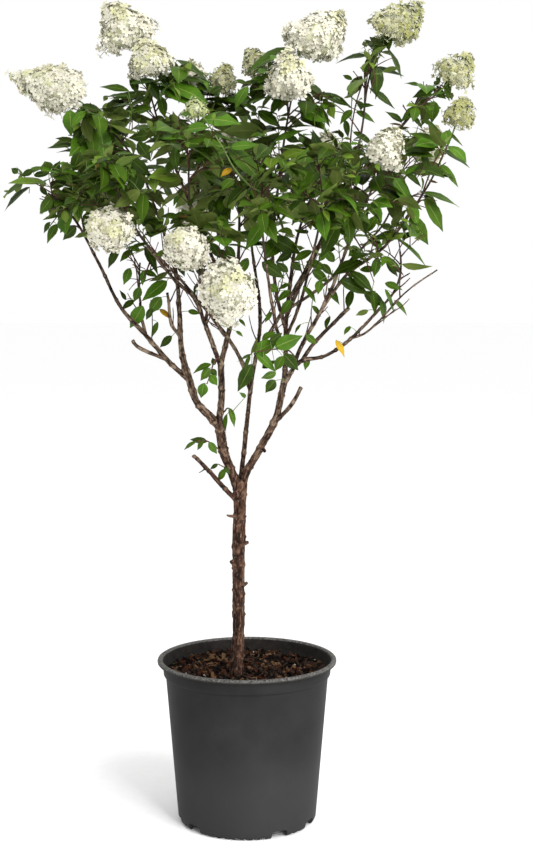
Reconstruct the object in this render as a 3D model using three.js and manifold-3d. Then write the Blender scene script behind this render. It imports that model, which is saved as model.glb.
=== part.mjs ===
// A panicle hydrangea grown as a small tree in a plastic nursery pot.
// Millimetres, +Z up, the origin at the middle of the pot's flat underside.
import * as THREE from 'three';
import { mergeVertices } from 'three/addons/utils/BufferGeometryUtils.js';
import Module from 'manifold-3d';

const wasm = await Module();
wasm.setup();

// The pot: a tapered wall with a rolled lip, a stepped collar under it and drain slots at its foot.
const POT_HEIGHT = 326;
const RIM_RADIUS = 178;
const FOOT_RADIUS = 132;
const FOOT_ROUND = 6;
const POT_FLOOR = 4;
const WALL = 2;
const LIP_DEPTH = 7;
const LIP_WIDTH = 10;
const COLLAR_DEPTH = 28;
const COLLAR_STEP = 5;
const DRAIN_SLOTS = 10;
const DRAIN_WIDTH = 22;
const DRAIN_HEIGHT = 7;
const DRAIN_TURN = 0.35;

// The mulch, and the level seat on it that the trunk stands on.
const SOIL_LEVEL = 303;
const SOIL_LUMP = 4;
const SOIL_RINGS = 5;
const SEAT_LEVEL = 300;

// The trunk's foot, its radius there, and how much it swells at the foot and at the fork.
const TRUNK_FOOT = [-21, -30, 290];
const TRUNK_RADIUS = 11.7;
const FLARE = 3;
const FORK_SWELL = 1.6;

// Leaves: the longest blade, its width and thickness, and the way it lies on its shoot.
const LEAF_LENGTH = 122;
const LEAF_WIDTH = 0.48;
const LEAF_THICKNESS = 1.3;
const LEAF_ANGLE = 1.0;
const LEAF_DROOP = 0.5;
const LEAF_ROLL = 1.2;
const LEAF_SIZES = [1, 0.82, 0.66, 0.66];
const ROOT_SUNK = 0.25;

// Leafy shoots: how thick, how high they arch, how many pairs of leaves, and where they may point.
const SHOOT_RADIUS = 1.7;
const SHOOT_TIP_RADIUS = 0.9;
const SHOOT_LIFT = 0.16;
const SHOOT_JOINTS = 3;
const SHOOT_REACHES = [1, 0.8, 0.6];
const SHOOT_TURNS = [0, 0.9, -0.9];
const FEWEST_LEAVES = 4;
const GOLDEN_ANGLE = 2.39996;

// A mass's stem, and the share of a flower head that its stalk is sunk in.
const STEM_TIP_RADIUS = 1.9;
const SPROUT_RADIUS = 2.2;
const STALK_SUNK = 0.32;
const SMALL_HEAD = 70;

// Clearances: between touching solids, round a limb, between masses, round a flower head, and the
// reach of a mass as a share of its half sizes.
const GAP = 0.3;
const LIMB_CLEARANCE = 4.5;
const CELL_MARGIN = 3;
const HEAD_ROOM = 0.58;
const REACH_LIMIT = 1.3;
const CROSSING = 1;
const FINEST = 0.1;

// How finely round things are faceted.
const POT_SEGMENTS = 28;
const BOUGH_SIDES = 8;
const BRANCH_SIDES = 5;
const THICK_LIMB = 6;
const LIMB_STEP = 65;
const TWIG_SIDES = 3;

// Each limb: points that its middle runs through, from its parent out, and its radius at each end.
const LIMBS = {
  trunk: {
    path: [TRUNK_FOOT, [-17, -29, 368], [-16, -26, 527], [-14, -22, 626], [-13, -20, 683]],
    radii: [TRUNK_RADIUS, 12.4],
  },
  trunk_stub: {
    path: [[-16, -20, 640], [-52, -38, 681], [-71, -46, 704], [-97, -56, 733]],
    radii: [4.6, 3.8],
  },
  left_bough: {
    path: [[-13, -21, 653], [-27, -24, 697], [-43, -30, 737], [-50, -38, 777], [-56, -42, 811]],
    radii: [9.4, 8.2],
  },
  left_outer_bough: {
    path: [[-55, -41, 795], [-70, -48, 813], [-95, -60, 841], [-109, -72, 887], [-117, -76, 912]],
    radii: [7.8, 6.4],
  },
  left_upright_bough: {
    path: [
      [-116, -75, 906], [-124, -70, 948], [-128, -56, 1018], [-139, -30, 1103],
      [-190, 0, 1252],
    ],
    radii: [6.2, 2.6],
  },
  far_left_bough: {
    path: [
      [-108, -71, 883], [-151, -80, 924], [-190, -88, 971], [-236, -90, 1023],
      [-270, -84, 1090], [-305, -74, 1158],
    ],
    radii: [5, 2.6],
  },
  left_stub: {
    path: [[-149, -80, 923], [-199, -96, 946], [-214, -102, 962]],
    radii: [3.4, 2.8],
  },
  left_spur: {
    path: [[-127, -64, 968], [-143, -74, 995], [-149, -82, 1051]],
    radii: [2.9, 2.4],
  },
  left_low_bough: {
    path: [[-189, -88, 969], [-198, -72, 999], [-202, -62, 1031]],
    radii: [2.8, 2.2],
  },
  inner_bough: {
    path: [[-54, -41, 797], [-49, -36, 837], [-48, -27, 876], [-51, -16, 920]],
    radii: [6.4, 5.8],
  },
  inner_left_bough: {
    path: [
      [-51, -17, 910], [-80, -45, 993], [-98, -75, 1040], [-136, -110, 1078],
      [-181, -137, 1138],
    ],
    radii: [4.6, 2.6],
  },
  inner_right_bough: {
    path: [[-50, -17, 912], [-39, -8, 956], [-30, 0, 995], [-21, 14, 1055], [-17, 22, 1109]],
    radii: [5.4, 3.6],
  },
  inner_rising_bough: {
    path: [[-29, 1, 999], [-48, 25, 1065], [-82, 45, 1153], [-147, 58, 1309]],
    radii: [3.6, 2.4],
  },
  low_front_bough: {
    path: [[-80, -44, 990], [-73, -95, 1026], [-77, -150, 1066]],
    radii: [3.2, 2.4],
  },
  front_left_bough: {
    path: [[-36, -7, 962], [-53, -40, 985], [-81, -100, 1051], [-98, -150, 1176]],
    radii: [3.2, 2.2],
  },
  right_bough: {
    path: [[-13, -21, 653], [1, -27, 704], [29, -36, 752], [58, -46, 813], [74, -42, 883]],
    radii: [8.4, 5.8],
  },
  right_stub: {
    path: [[52, -44, 797], [87, -66, 838], [105, -76, 871]],
    radii: [3.8, 3.3],
  },
  right_upright_bough: {
    path: [[73, -43, 871], [76, -35, 930], [77, -22, 997], [90, 2, 1109]],
    radii: [5.2, 3.4],
  },
  right_rising_bough: {
    path: [[78, -21, 1005], [104, 0, 1065], [143, 20, 1142], [202, 40, 1285]],
    radii: [3.6, 2.3],
  },
  right_outer_rising_bough: {
    path: [[185, 36, 1238], [232, 18, 1291], [281, 0, 1347]],
    radii: [2.3, 1.8],
  },
  central_rising_bough: {
    path: [[77, -27, 978], [57, -5, 1055], [51, 12, 1152], [67, 20, 1297]],
    radii: [3.6, 2.3],
  },
  right_outer_bough: {
    path: [[73, -43, 875], [102, -56, 918], [154, -70, 932], [203, -82, 968], [268, -90, 1037]],
    radii: [4.6, 2.4],
  },
  right_bare_twig: {
    path: [[203, -81, 965], [236, -98, 983], [298, -115, 1051], [357, -124, 1094]],
    radii: [2, 1],
  },
  right_spur: {
    path: [[105, -57, 918], [134, -44, 958], [198, -26, 1021]],
    radii: [4, 3.2],
  },
  right_inner_bough: {
    path: [[88, -48, 900], [110, -66, 958], [155, -82, 1043], [202, -86, 1165]],
    radii: [3.8, 2.4],
  },
  right_side_bough: {
    path: [[135, -77, 1005], [188, -76, 1081], [261, -78, 1137], [313, -76, 1206]],
    radii: [2.8, 1.9],
  },
  front_right_bough: {
    path: [[76, -29, 963], [101, -72, 1026], [129, -125, 1140]],
    radii: [3.2, 2.2],
  },
  front_centre_bough: {
    path: [[76, -34, 936], [53, -85, 1003], [36, -160, 1121]],
    radii: [3.2, 2.2],
  },
  middle_bough: {
    path: [[-13, -18, 671], [-6, 0, 734], [8, 45, 866], [26, 100, 994], [9, 165, 1139]],
    radii: [5, 3],
  },
  back_left_bough: {
    path: [[7, 42, 853], [-23, 90, 934], [-117, 140, 1053], [-199, 150, 1139]],
    radii: [3.8, 2.4],
  },
  back_rising_bough: {
    path: [[-64, 118, 995], [-91, 150, 1110], [-103, 168, 1281]],
    radii: [3, 2.2],
  },
  back_right_bough: {
    path: [[16, 68, 925], [66, 120, 1003], [145, 175, 1145]],
    radii: [3.6, 2.4],
  },
  back_side_bough: {
    path: [[68, 120, 1005], [168, 135, 1074], [258, 132, 1165]],
    radii: [2.8, 2],
  },
};

// Each mass of foliage: the limb whose tip carries it (or a foot on that limb's side), its middle, its
// half sizes, how many leafy shoots it grows, its longest leaf where that is shorter than the rest,
// and its flower heads. A flower head: its middle, the way it points, its length and its width.
const MASSES = {
  left_tip_foliage: {
    limb: 'far_left_bough',
    seed: 12,
    centre: [-374, -70, 1216],
    half: [100, 110, 75],
    shoots: 5,
  },
  left_upper_foliage: {
    limb: 'left_upright_bough',
    seed: 2,
    centre: [-290, 0, 1360],
    half: [95, 110, 85],
    shoots: 4,
    heads: [
      [[-380, -20, 1440], [-0.9, -0.2, 0.3], 130, 92],
    ],
  },
  top_left_foliage: {
    limb: 'inner_rising_bough',
    seed: 58,
    centre: [-193, 50, 1434],
    half: [90, 100, 80],
    shoots: 3,
    heads: [
      [[-239, 30, 1560], [-0.45, -0.1, 0.85], 104, 100],
      [[-185, 0, 1500], [-0.3, -0.3, 0.9], 86, 84],
    ],
  },
  back_top_foliage: {
    limb: 'back_rising_bough',
    seed: 25,
    centre: [-96, 160, 1400],
    half: [95, 95, 85],
    shoots: 3,
    heads: [
      [[-49, 150, 1475], [0.3, 0.1, 0.9], 72, 64],
      [[-108, 170, 1488], [-0.3, 0.2, 0.9], 60, 56],
    ],
  },
  top_centre_foliage: {
    limb: 'central_rising_bough',
    seed: 1,
    centre: [94, 10, 1430],
    half: [90, 100, 80],
    shoots: 3,
    heads: [
      [[128, 10, 1541], [0.6, -0.1, 0.75], 122, 104],
      [[81, -50, 1460], [-0.1, -0.5, 0.8], 100, 96],
      [[16, 90, 1503], [-0.5, 0.4, 0.75], 70, 64],
    ],
  },
  top_right_foliage: {
    limb: 'right_rising_bough',
    seed: 44,
    centre: [230, 45, 1440],
    half: [80, 90, 100],
    shoots: 3,
    heads: [
      [[296, 40, 1573], [0.6, -0.1, 0.75], 104, 92],
    ],
  },
  right_upper_foliage: {
    limb: 'right_outer_rising_bough',
    seed: 60,
    centre: [340, 30, 1420],
    half: [75, 90, 75],
    shoots: 3,
    heads: [
      [[404, 0, 1476], [0.55, -0.1, 0.8], 76, 72],
    ],
  },
  right_side_foliage: {
    limb: 'right_side_bough',
    seed: 37,
    centre: [375, -80, 1295],
    half: [85, 90, 85],
    shoots: 4,
    heads: [
      [[402, -60, 1390], [0.25, -0.1, 0.95], 72, 66],
    ],
  },
  right_lower_foliage: {
    limb: 'right_outer_bough',
    seed: 54,
    centre: [290, -90, 1105],
    half: [90, 100, 80],
    shoots: 4,
  },
  right_mid_foliage: {
    limb: 'right_inner_bough',
    seed: 46,
    centre: [245, -85, 1235],
    half: [80, 90, 85],
    shoots: 3,
    heads: [
      [[268, -110, 1325], [0.5, -0.35, 0.75], 92, 84],
    ],
  },
  front_right_foliage: {
    limb: 'front_right_bough',
    seed: 18,
    centre: [141, -150, 1231],
    half: [85, 95, 95],
    shoots: 4,
  },
  front_centre_foliage: {
    limb: 'front_centre_bough',
    seed: 18,
    centre: [31, -200, 1228],
    half: [85, 85, 95],
    shoots: 4,
  },
  front_left_foliage: {
    limb: 'front_left_bough',
    seed: 57,
    centre: [-101, -170, 1284],
    half: [90, 95, 90],
    shoots: 4,
    heads: [
      [[-97, -130, 1391], [-0.2, -0.2, 0.95], 42, 40],
    ],
  },
  low_front_foliage: {
    limb: 'low_front_bough',
    seed: 48,
    centre: [-73, -190, 1121],
    half: [85, 80, 80],
    shoots: 3,
    heads: [
      [[-104, -250, 1132], [-0.2, -0.9, 0.15], 96, 100],
      [[-26, -270, 1058], [0.15, -0.95, 0.05], 116, 118],
    ],
  },
  left_mid_foliage: {
    limb: 'inner_left_bough',
    seed: 30,
    centre: [-240, -150, 1222],
    half: [90, 90, 85],
    shoots: 4,
    heads: [
      [[-243, -210, 1165], [-0.3, -0.85, 0.1], 90, 98],
    ],
  },
  left_low_foliage: {
    limb: 'left_low_bough',
    seed: 50,
    centre: [-202, -60, 1085],
    half: [70, 70, 75],
    shoots: 3,
    leaf: 90,
  },
  core_foliage: {
    limb: 'inner_right_bough',
    seed: 34,
    centre: [-17, 20, 1230],
    half: [95, 95, 100],
    shoots: 4,
  },
  core_right_foliage: {
    limb: 'right_upright_bough',
    seed: 33,
    centre: [127, 15, 1210],
    half: [90, 90, 90],
    shoots: 4,
  },
  back_left_foliage: {
    limb: 'back_left_bough',
    seed: 59,
    centre: [-265, 150, 1240],
    half: [105, 100, 100],
    shoots: 4,
    heads: [
      [[-320, 190, 1375], [-0.5, 0.4, 0.75], 96, 90],
    ],
  },
  back_centre_foliage: {
    limb: 'middle_bough',
    seed: 6,
    centre: [-47, 235, 1255],
    half: [100, 100, 105],
    shoots: 4,
    heads: [
      [[-30, 330, 1370], [0.1, 0.6, 0.75], 100, 92],
      [[-110, 330, 1215], [-0.3, 0.9, 0.2], 92, 90],
    ],
  },
  back_right_foliage: {
    limb: 'back_right_bough',
    seed: 37,
    centre: [150, 215, 1265],
    half: [100, 100, 100],
    shoots: 4,
    heads: [
      [[165, 300, 1390], [0.2, 0.5, 0.8], 96, 90],
    ],
  },
  back_side_foliage: {
    limb: 'back_side_bough',
    seed: 19,
    centre: [300, 120, 1260],
    half: [90, 100, 90],
    shoots: 4,
    heads: [
      [[370, 190, 1350], [0.5, 0.5, 0.7], 90, 84],
    ],
  },
  low_right_foliage: {
    limb: 'right_upright_bough',
    seed: 34,
    foot: [76, -37, 920],
    centre: [42, -95, 930],
    half: [75, 60, 55],
    shoots: 3,
    leaf: 86,
  },
  low_left_foliage: {
    limb: 'left_bough',
    seed: 45,
    foot: [-46, -33, 752],
    centre: [-82, -72, 775],
    half: [50, 45, 40],
    shoots: 2,
    leaf: 56,
  },
};

const up = new THREE.Vector3(0, 0, 1);
const vector = (numbers) => new THREE.Vector3(...numbers);
const mix = (a, b, share) => a + (b - a) * share;

// Numbers from 0 to 1 that a seed repeats in any language.
function seeded(seed) {
  let state = seed >>> 0;
  const next = () => {
    state = (Math.imul(state, 1664525) + 1013904223) >>> 0;
    return state / 4294967296;
  };
  for (let warm = 0; warm < 4; warm++) next();
  return next;
}

// A closed geometry as a solid that can be cut and joined.
function solidOf(geometry) {
  const bare = geometry.index ? geometry.toNonIndexed() : geometry.clone();
  bare.deleteAttribute('normal');
  bare.deleteAttribute('uv');
  const merged = mergeVertices(bare, 1e-4);
  return new wasm.Manifold(new wasm.Mesh({
    numProp: 3,
    vertProperties: merged.attributes.position.array,
    triVerts: new Uint32Array(merged.index.array),
  }));
}

function geometryOf(solid) {
  const mesh = solid.getMesh();
  const geometry = new THREE.BufferGeometry();
  geometry.setAttribute('position', new THREE.BufferAttribute(mesh.vertProperties, 3));
  geometry.setIndex(new THREE.BufferAttribute(mesh.triVerts, 1));
  geometry.computeVertexNormals();
  return geometry;
}

// The largest of a solid's loose bodies.
function largest(solid) {
  return solid.decompose().reduce((best, body) => (body.volume() > best.volume() ? body : best));
}

function join(solids) {
  return solids.reduce((sum, solid) => sum.add(solid));
}

const curveThrough = (points) => new THREE.CatmullRomCurve3(points, false, 'catmullrom', 0.5);

// A round limb along a curve: a cylinder whose rings are carried onto the curve.
function limbGeometry(curve, radiusAt, sides, steps) {
  const rings = [];
  let across = new THREE.Vector3(1, 0, 0);
  for (let i = 0; i <= steps; i++) {
    const along = curve.getTangent(i / steps).normalize();
    across = across.clone().addScaledVector(along, -across.dot(along)).normalize();
    rings.push({ middle: curve.getPoint(i / steps), across, side: across.clone().cross(along) });
  }
  const geometry = new THREE.CylinderGeometry(1, 1, 1, sides, steps);
  const position = geometry.attributes.position;
  for (let i = 0; i < position.count; i++) {
    const share = position.getY(i) + 0.5;
    const ring = rings[Math.round(share * steps)];
    const radius = radiusAt(share);
    const point = ring.middle.clone()
      .addScaledVector(ring.across, position.getX(i) * radius)
      .addScaledVector(ring.side, position.getZ(i) * radius);
    position.setXYZ(i, point.x, point.y, point.z);
  }
  return geometry;
}

// The same curve, a little longer at both ends, for the room that a limb needs round it.
function longer(points, extra) {
  const grown = points.map((point) => point.clone());
  const last = grown.length - 1;
  grown[0].addScaledVector(grown[0].clone().sub(grown[1]).normalize(), extra);
  grown[last].addScaledVector(grown[last].clone().sub(grown[last - 1]).normalize(), extra);
  return grown;
}

function limb(name, spare = 0) {
  const { path, radii } = LIMBS[name];
  const points = longer(path.map(vector), spare);
  const curve = curveThrough(points);
  const steps = Math.max(3, Math.round(curve.getLength() / LIMB_STEP));
  const swell = name === 'trunk'
    ? (share) => FLARE * Math.exp(-share * 12) + FORK_SWELL * Math.exp((share - 1) * 8)
    : () => 0;
  const radiusAt = (share) => mix(radii[0], radii[1], share) + swell(share) + spare;
  return limbGeometry(curve, radiusAt, radii[0] > THICK_LIMB ? BOUGH_SIDES : BRANCH_SIDES, steps);
}

// Points down the middle of every limb, with its radius there, for keeping leaves clear of it.
function limbSamples() {
  const list = [];
  for (const { path, radii } of Object.values(LIMBS)) {
    const curve = curveThrough(path.map(vector));
    const count = Math.ceil(curve.getLength() / 6);
    for (let i = 0; i <= count; i++) {
      list.push({ at: curve.getPoint(i / count), radius: mix(radii[0], radii[1], i / count) });
    }
  }
  return list;
}

const massList = Object.entries(MASSES).map(([name, mass]) => ({
  name,
  ...mass,
  middle: vector(mass.centre),
  size: mass.half.reduce((sum, value) => sum + value) / 3,
  heads: mass.heads ?? [],
}));

// Each mass keeps to the cell of space that is nearer to its own middle than to any other's.
function ownsPoint(mass, point) {
  const own = point.distanceToSquared(mass.middle) - mass.size ** 2;
  return massList.every((other) => {
    if (other === mass) return true;
    const theirs = point.distanceToSquared(other.middle) - other.size ** 2;
    return theirs - own > CELL_MARGIN * 2 * other.middle.distanceTo(mass.middle);
  });
}

function withinReach(mass, point) {
  const [x, y, z] = point.clone().sub(mass.middle).toArray().map((value, i) => value / mass.half[i]);
  return Math.hypot(x, y, z) < REACH_LIMIT;
}

const samples = limbSamples();

// Whether points are clear of the flower heads.
function clearOfHeads(points) {
  return massList.every(({ heads }) => heads.every(([centre, , length, width]) => {
    const room = Math.max(length, width) * HEAD_ROOM;
    return points.every((point) => point.distanceTo(vector(centre)) > room);
  }));
}

function clearOfLimbs(points) {
  return points.every((point) => samples.every(
    ({ at, radius }) => at.distanceTo(point) > radius + LIMB_CLEARANCE,
  ));
}

// The middle line of a shoot: it leaves its stem, rises and arches over to its tip.
function shootCurve(from, tip, lift) {
  const control = from.clone().lerp(tip, 0.5).addScaledVector(up, from.distanceTo(tip) * lift);
  return new THREE.QuadraticBezierCurve3(from, control, tip);
}

// A leaf of eight faces: root, tip, two shoulders, and its upper and lower middle.
function leafFrame(root, direction, length, roll) {
  const across = direction.clone().cross(up).normalize().applyAxisAngle(direction, roll);
  const normal = across.clone().cross(direction).normalize();
  const shoulder = root.clone().addScaledVector(direction, length * 0.45);
  return {
    root,
    tip: root.clone().addScaledVector(direction, length).addScaledVector(up, -length * 0.1),
    left: shoulder.clone().addScaledVector(across, -length * LEAF_WIDTH * 0.5),
    right: shoulder.clone().addScaledVector(across, length * LEAF_WIDTH * 0.5),
    over: shoulder.clone().addScaledVector(normal, LEAF_THICKNESS * 0.5),
    under: shoulder.clone().addScaledVector(normal, -LEAF_THICKNESS * 0.5),
  };
}

function leafSolid({ root, tip, left, right, over, under }) {
  const geometry = new THREE.OctahedronGeometry(1);
  const position = geometry.attributes.position;
  for (let i = 0; i < position.count; i++) {
    const [x, y, z] = [position.getX(i), position.getY(i), position.getZ(i)].map(Math.round);
    const corner = x > 0 ? right : x < 0 ? left : y > 0 ? tip : y < 0 ? root : z > 0 ? over : under;
    position.setXYZ(i, corner.x, corner.y, corner.z);
  }
  return solidOf(geometry);
}

// Pairs of opposite leaves up a shoot, each pair a quarter turn on from the one below. Each leaf is
// a list of the ways that it may lie, the fullest first.
function shootLeaves(curve, random, pairs, length) {
  const leaves = [];
  for (let pair = 0; pair < pairs; pair++) {
    const share = Math.min((pair + 1) / SHOOT_JOINTS, 0.98);
    const turn = random() * 0.5 + pair * Math.PI * 0.5;
    const root = curve.getPoint(share);
    const along = curve.getTangent(share).normalize();
    const level = along.clone().cross(up).normalize();
    const rise = level.clone().cross(along).normalize();
    for (const half of [0, Math.PI]) {
      const size = length * (0.8 + 0.35 * random()) * (1 - 0.2 * share);
      leaves.push(LEAF_SIZES.map((scale) => {
        const spin = turn + half + (1 - scale) * 1.6 * (random() - 0.5);
        const out = level.clone().multiplyScalar(Math.cos(spin)).addScaledVector(rise, Math.sin(spin));
        const direction = along.clone().multiplyScalar(Math.cos(LEAF_ANGLE))
          .addScaledVector(out, Math.sin(LEAF_ANGLE));
        direction.z = direction.z * 0.6 - LEAF_DROOP * (0.3 + random());
        direction.normalize();
        const sunk = root.clone().addScaledVector(direction, -ROOT_SUNK);
        return leafFrame(sunk, direction, size * scale, LEAF_ROLL * (random() - 0.5));
      }));
    }
  }
  return leaves;
}

// A flower head: a blunt cone of lumps, wider towards its stem.
function headSolid([centre, lean, length, width], random) {
  const lumps = width > SMALL_HEAD ? new THREE.IcosahedronGeometry(1, 1) : new THREE.OctahedronGeometry(1, 1);
  const geometry = mergeVertices(bareGeometry(lumps), 1e-4);
  const turn = new THREE.Quaternion().setFromUnitVectors(up, vector(lean).normalize());
  const position = geometry.attributes.position;
  for (let i = 0; i < position.count; i++) {
    const point = new THREE.Vector3().fromBufferAttribute(position, i);
    const lump = 0.93 + 0.14 * random();
    const spread = width * 0.5 * (1.02 - 0.2 * point.z) * lump;
    point.set(point.x * spread, point.y * spread, point.z * length * 0.5 * lump);
    point.applyQuaternion(turn).add(vector(centre));
    position.setXYZ(i, point.x, point.y, point.z);
  }
  return solidOf(geometry);
}

function bareGeometry(geometry) {
  geometry.deleteAttribute('normal');
  geometry.deleteAttribute('uv');
  return geometry;
}

// Where a mass's main stem starts and the way it sets off.
function stemStart(mass) {
  if (mass.foot) {
    const foot = vector(mass.foot);
    return { foot, way: mass.middle.clone().sub(foot).normalize(), radius: SPROUT_RADIUS };
  }
  const { path, radii } = LIMBS[mass.limb];
  const curve = curveThrough(path.map(vector));
  const way = curve.getTangent(1).normalize();
  return { foot: curve.getPoint(1).addScaledVector(way, GAP), way, radius: radii[1] };
}

const corners = (leaf) => [leaf.tip, leaf.left, leaf.right, leaf.over,
  leaf.left.clone().lerp(leaf.tip, 0.5), leaf.right.clone().lerp(leaf.tip, 0.5)];

const crosses = (solid, other) => other.intersect(solid).volume() > CROSSING;

// A mass's shoots: one to each flower head, then leafy ones that spread by the golden angle from the
// top of the stem downwards, each drawn in until it keeps to the mass's own space.
function massShoots(mass, stem, random) {
  const shoots = [];
  for (const head of mass.heads) {
    const lean = vector(head[1]).normalize();
    const tip = vector(head[0]).addScaledVector(lean, -head[2] * STALK_SUNK);
    const from = stem.getPoint(0.55 + 0.4 * random());
    const bend = tip.clone().addScaledVector(lean, -from.distanceTo(tip) * 0.4);
    shoots.push({ curve: new THREE.QuadraticBezierCurve3(from, bend, tip), head, pairs: SHOOT_JOINTS - 1 });
  }
  for (let k = 0; k < mass.shoots; k++) {
    const share = (k + 0.5) / mass.shoots;
    const height = 0.95 - share * 1.25;
    const angle = (k + mass.seed * 3) * GOLDEN_ANGLE + random() * 0.6;
    const flat = Math.sqrt(1 - height * height);
    const reach = 0.72 + 0.15 * random();
    const from = stem.getPoint(mix(0.97, 0.4, share));
    const curve = SHOOT_TURNS.flatMap((shift) => SHOOT_REACHES.map((scale) => {
      const tip = vector([Math.cos(angle + shift) * flat, Math.sin(angle + shift) * flat, height])
        .multiply(vector(mass.half)).multiplyScalar(reach * scale).add(mass.middle);
      return shootCurve(from, tip, SHOOT_LIFT);
    })).find((tried) => {
      const checks = tried.getSpacedPoints(8).slice(3);
      return checks.every((point) => ownsPoint(mass, point))
        && clearOfLimbs(checks) && clearOfHeads(checks);
    });
    if (curve) shoots.push({ curve, pairs: SHOOT_JOINTS });
  }
  return shoots;
}

// One mass: a stem, shoots that arch out over its space by a seeded rule, their leaves and heads.
function massSolid(mass) {
  const random = seeded(mass.seed * 7919);
  const { foot, way, radius } = stemStart(mass);
  const crown = mass.middle.clone().addScaledVector(up, mass.half[2] * 0.3);
  const control = foot.clone().addScaledVector(way, foot.distanceTo(crown) * 0.5);
  const stem = new THREE.QuadraticBezierCurve3(foot, control, crown);
  const shoots = massShoots(mass, stem, random);
  const wood = shoots.map(({ curve }) => solidOf(
    limbGeometry(curve, (share) => mix(SHOOT_RADIUS, SHOOT_TIP_RADIUS, share), TWIG_SIDES, SHOOT_JOINTS),
  ));
  const stemWood = solidOf(limbGeometry(stem, (share) => mix(radius, STEM_TIP_RADIUS, share), TWIG_SIDES, 3));
  const heads = shoots.filter(({ head }) => head).map(({ head }) => headSolid(head, random));
  const placed = [stemWood, ...heads];
  shoots.forEach(({ curve, head, pairs }, k) => {
    const others = wood.filter((_, index) => index !== k);
    const leaves = [];
    for (const ways of shootLeaves(curve, random, pairs, mass.leaf ?? LEAF_LENGTH)) {
      const fitting = ways.find((leaf) => {
        const edge = corners(leaf);
        if (!edge.every((point) => ownsPoint(mass, point) && withinReach(mass, point))) return false;
        if (!clearOfLimbs(edge) || !clearOfHeads(edge)) return false;
        const solid = leafSolid(leaf);
        return ![...placed, ...leaves, ...others].some((other) => crosses(solid, other));
      });
      if (fitting) leaves.push(leafSolid(fitting));
    }
    if (!head && leaves.length < FEWEST_LEAVES) return;
    placed.push(wood[k], ...leaves);
  });
  return join(placed);
}

// The pot: one turned wall with a rolled lip and a stepped collar, and slots round its foot.
function potSolid() {
  const collar = POT_HEIGHT - COLLAR_DEPTH;
  const under = POT_HEIGHT - LIP_DEPTH;
  const top = RIM_RADIUS - LIP_WIDTH;
  const step = top - COLLAR_STEP;
  const heel = FOOT_RADIUS + FOOT_ROUND;
  const profile = [
    [0, 0],
    [FOOT_RADIUS, 0],
    [heel, FOOT_ROUND],
    [step, collar],
    [top - WALL, collar + 3],
    [top, under],
    [RIM_RADIUS - 1, under],
    [RIM_RADIUS, under + LIP_DEPTH * 0.5],
    [RIM_RADIUS - 2, POT_HEIGHT],
    [top, POT_HEIGHT],
    [top - WALL, under],
    [step - WALL, collar],
    [heel - WALL, POT_FLOOR + 5],
    [FOOT_RADIUS, POT_FLOOR],
    [0, POT_FLOOR],
  ].map(([r, z]) => new THREE.Vector2(r, z));
  const turned = new THREE.LatheGeometry(profile, POT_SEGMENTS).rotateX(Math.PI / 2);
  let solid = solidOf(turned);
  for (let i = 0; i < DRAIN_SLOTS; i++) {
    const slot = new THREE.BoxGeometry(DRAIN_WIDTH * 2, DRAIN_WIDTH, DRAIN_HEIGHT * 2);
    slot.translate(FOOT_RADIUS + DRAIN_WIDTH * 0.55, 0, 0);
    slot.rotateZ((i + DRAIN_TURN) / DRAIN_SLOTS * Math.PI * 2);
    solid = solid.subtract(solidOf(slot));
  }
  return solid;
}

// The mulch that fills the pot, a hair clear of its wall, with a level seat for the trunk.
function soilSolid() {
  const random = seeded(41);
  const collar = POT_HEIGHT - COLLAR_DEPTH;
  const wall = RIM_RADIUS - LIP_WIDTH - COLLAR_STEP - WALL - GAP * 1.5;
  const profile = [
    [0, POT_FLOOR + GAP],
    [FOOT_RADIUS - GAP * 2, POT_FLOOR + GAP],
    [FOOT_RADIUS + FOOT_ROUND - WALL - GAP * 2, POT_FLOOR + 5 + GAP],
    [wall, collar],
    [wall + GAP, SOIL_LEVEL],
  ];
  for (let i = 1; i <= SOIL_RINGS; i++) profile.push([(wall - 8) * (1 - i / SOIL_RINGS), SOIL_LEVEL]);
  const turned = new THREE.LatheGeometry(
    profile.map(([r, z]) => new THREE.Vector2(r, z)),
    POT_SEGMENTS / 2,
  );
  const geometry = mergeVertices(bareGeometry(turned.rotateX(Math.PI / 2)), 1e-4);
  const position = geometry.attributes.position;
  for (let i = 0; i < position.count; i++) {
    if (position.getZ(i) < SOIL_LEVEL - 1) continue;
    position.setZ(i, SOIL_LEVEL - 1 + SOIL_LUMP * random());
  }
  const width = TRUNK_RADIUS + FLARE + GAP * 4;
  const depth = SOIL_LUMP * 4;
  const seat = new THREE.CylinderGeometry(width, width, depth, 16);
  seat.rotateX(Math.PI / 2).translate(TRUNK_FOOT[0], TRUNK_FOOT[1], SEAT_LEVEL - GAP + depth / 2);
  return solidOf(geometry).subtract(solidOf(seat));
}

const finish = (color, roughness) => new THREE.MeshStandardMaterial({ color, roughness, metalness: 0 });
const potPlastic = finish('#3a3b3d', 0.55);
const mulch = finish('#4a2f1c', 1);
const bark = finish('#6b5244', 0.9);
const foliage = finish('#3f6a26', 0.6);

const plant = new THREE.Group();

function place(name, solid, material) {
  const mesh = new THREE.Mesh(geometryOf(solid), material);
  mesh.name = name;
  plant.add(mesh);
}

place('pot', potSolid(), potPlastic);
place('soil', soilSolid(), mulch);

// Limbs are cut clear of every limb made before them, so a bough's foot fits round its parent.
const ground = new THREE.BoxGeometry(RIM_RADIUS, RIM_RADIUS, SEAT_LEVEL);
ground.translate(0, 0, SEAT_LEVEL / 2);
const made = [solidOf(ground)];
for (const name of Object.keys(LIMBS)) {
  let solid = solidOf(limb(name));
  for (const earlier of made) solid = solid.subtract(earlier);
  place(name, largest(solid).simplify(FINEST), bark);
  made.push(solidOf(limb(name, GAP)));
}

const limbRoom = join(made);
for (const mass of massList) {
  place(mass.name, largest(massSolid(mass).subtract(limbRoom).simplify(FINEST)), foliage);
}

export default plant;
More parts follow.
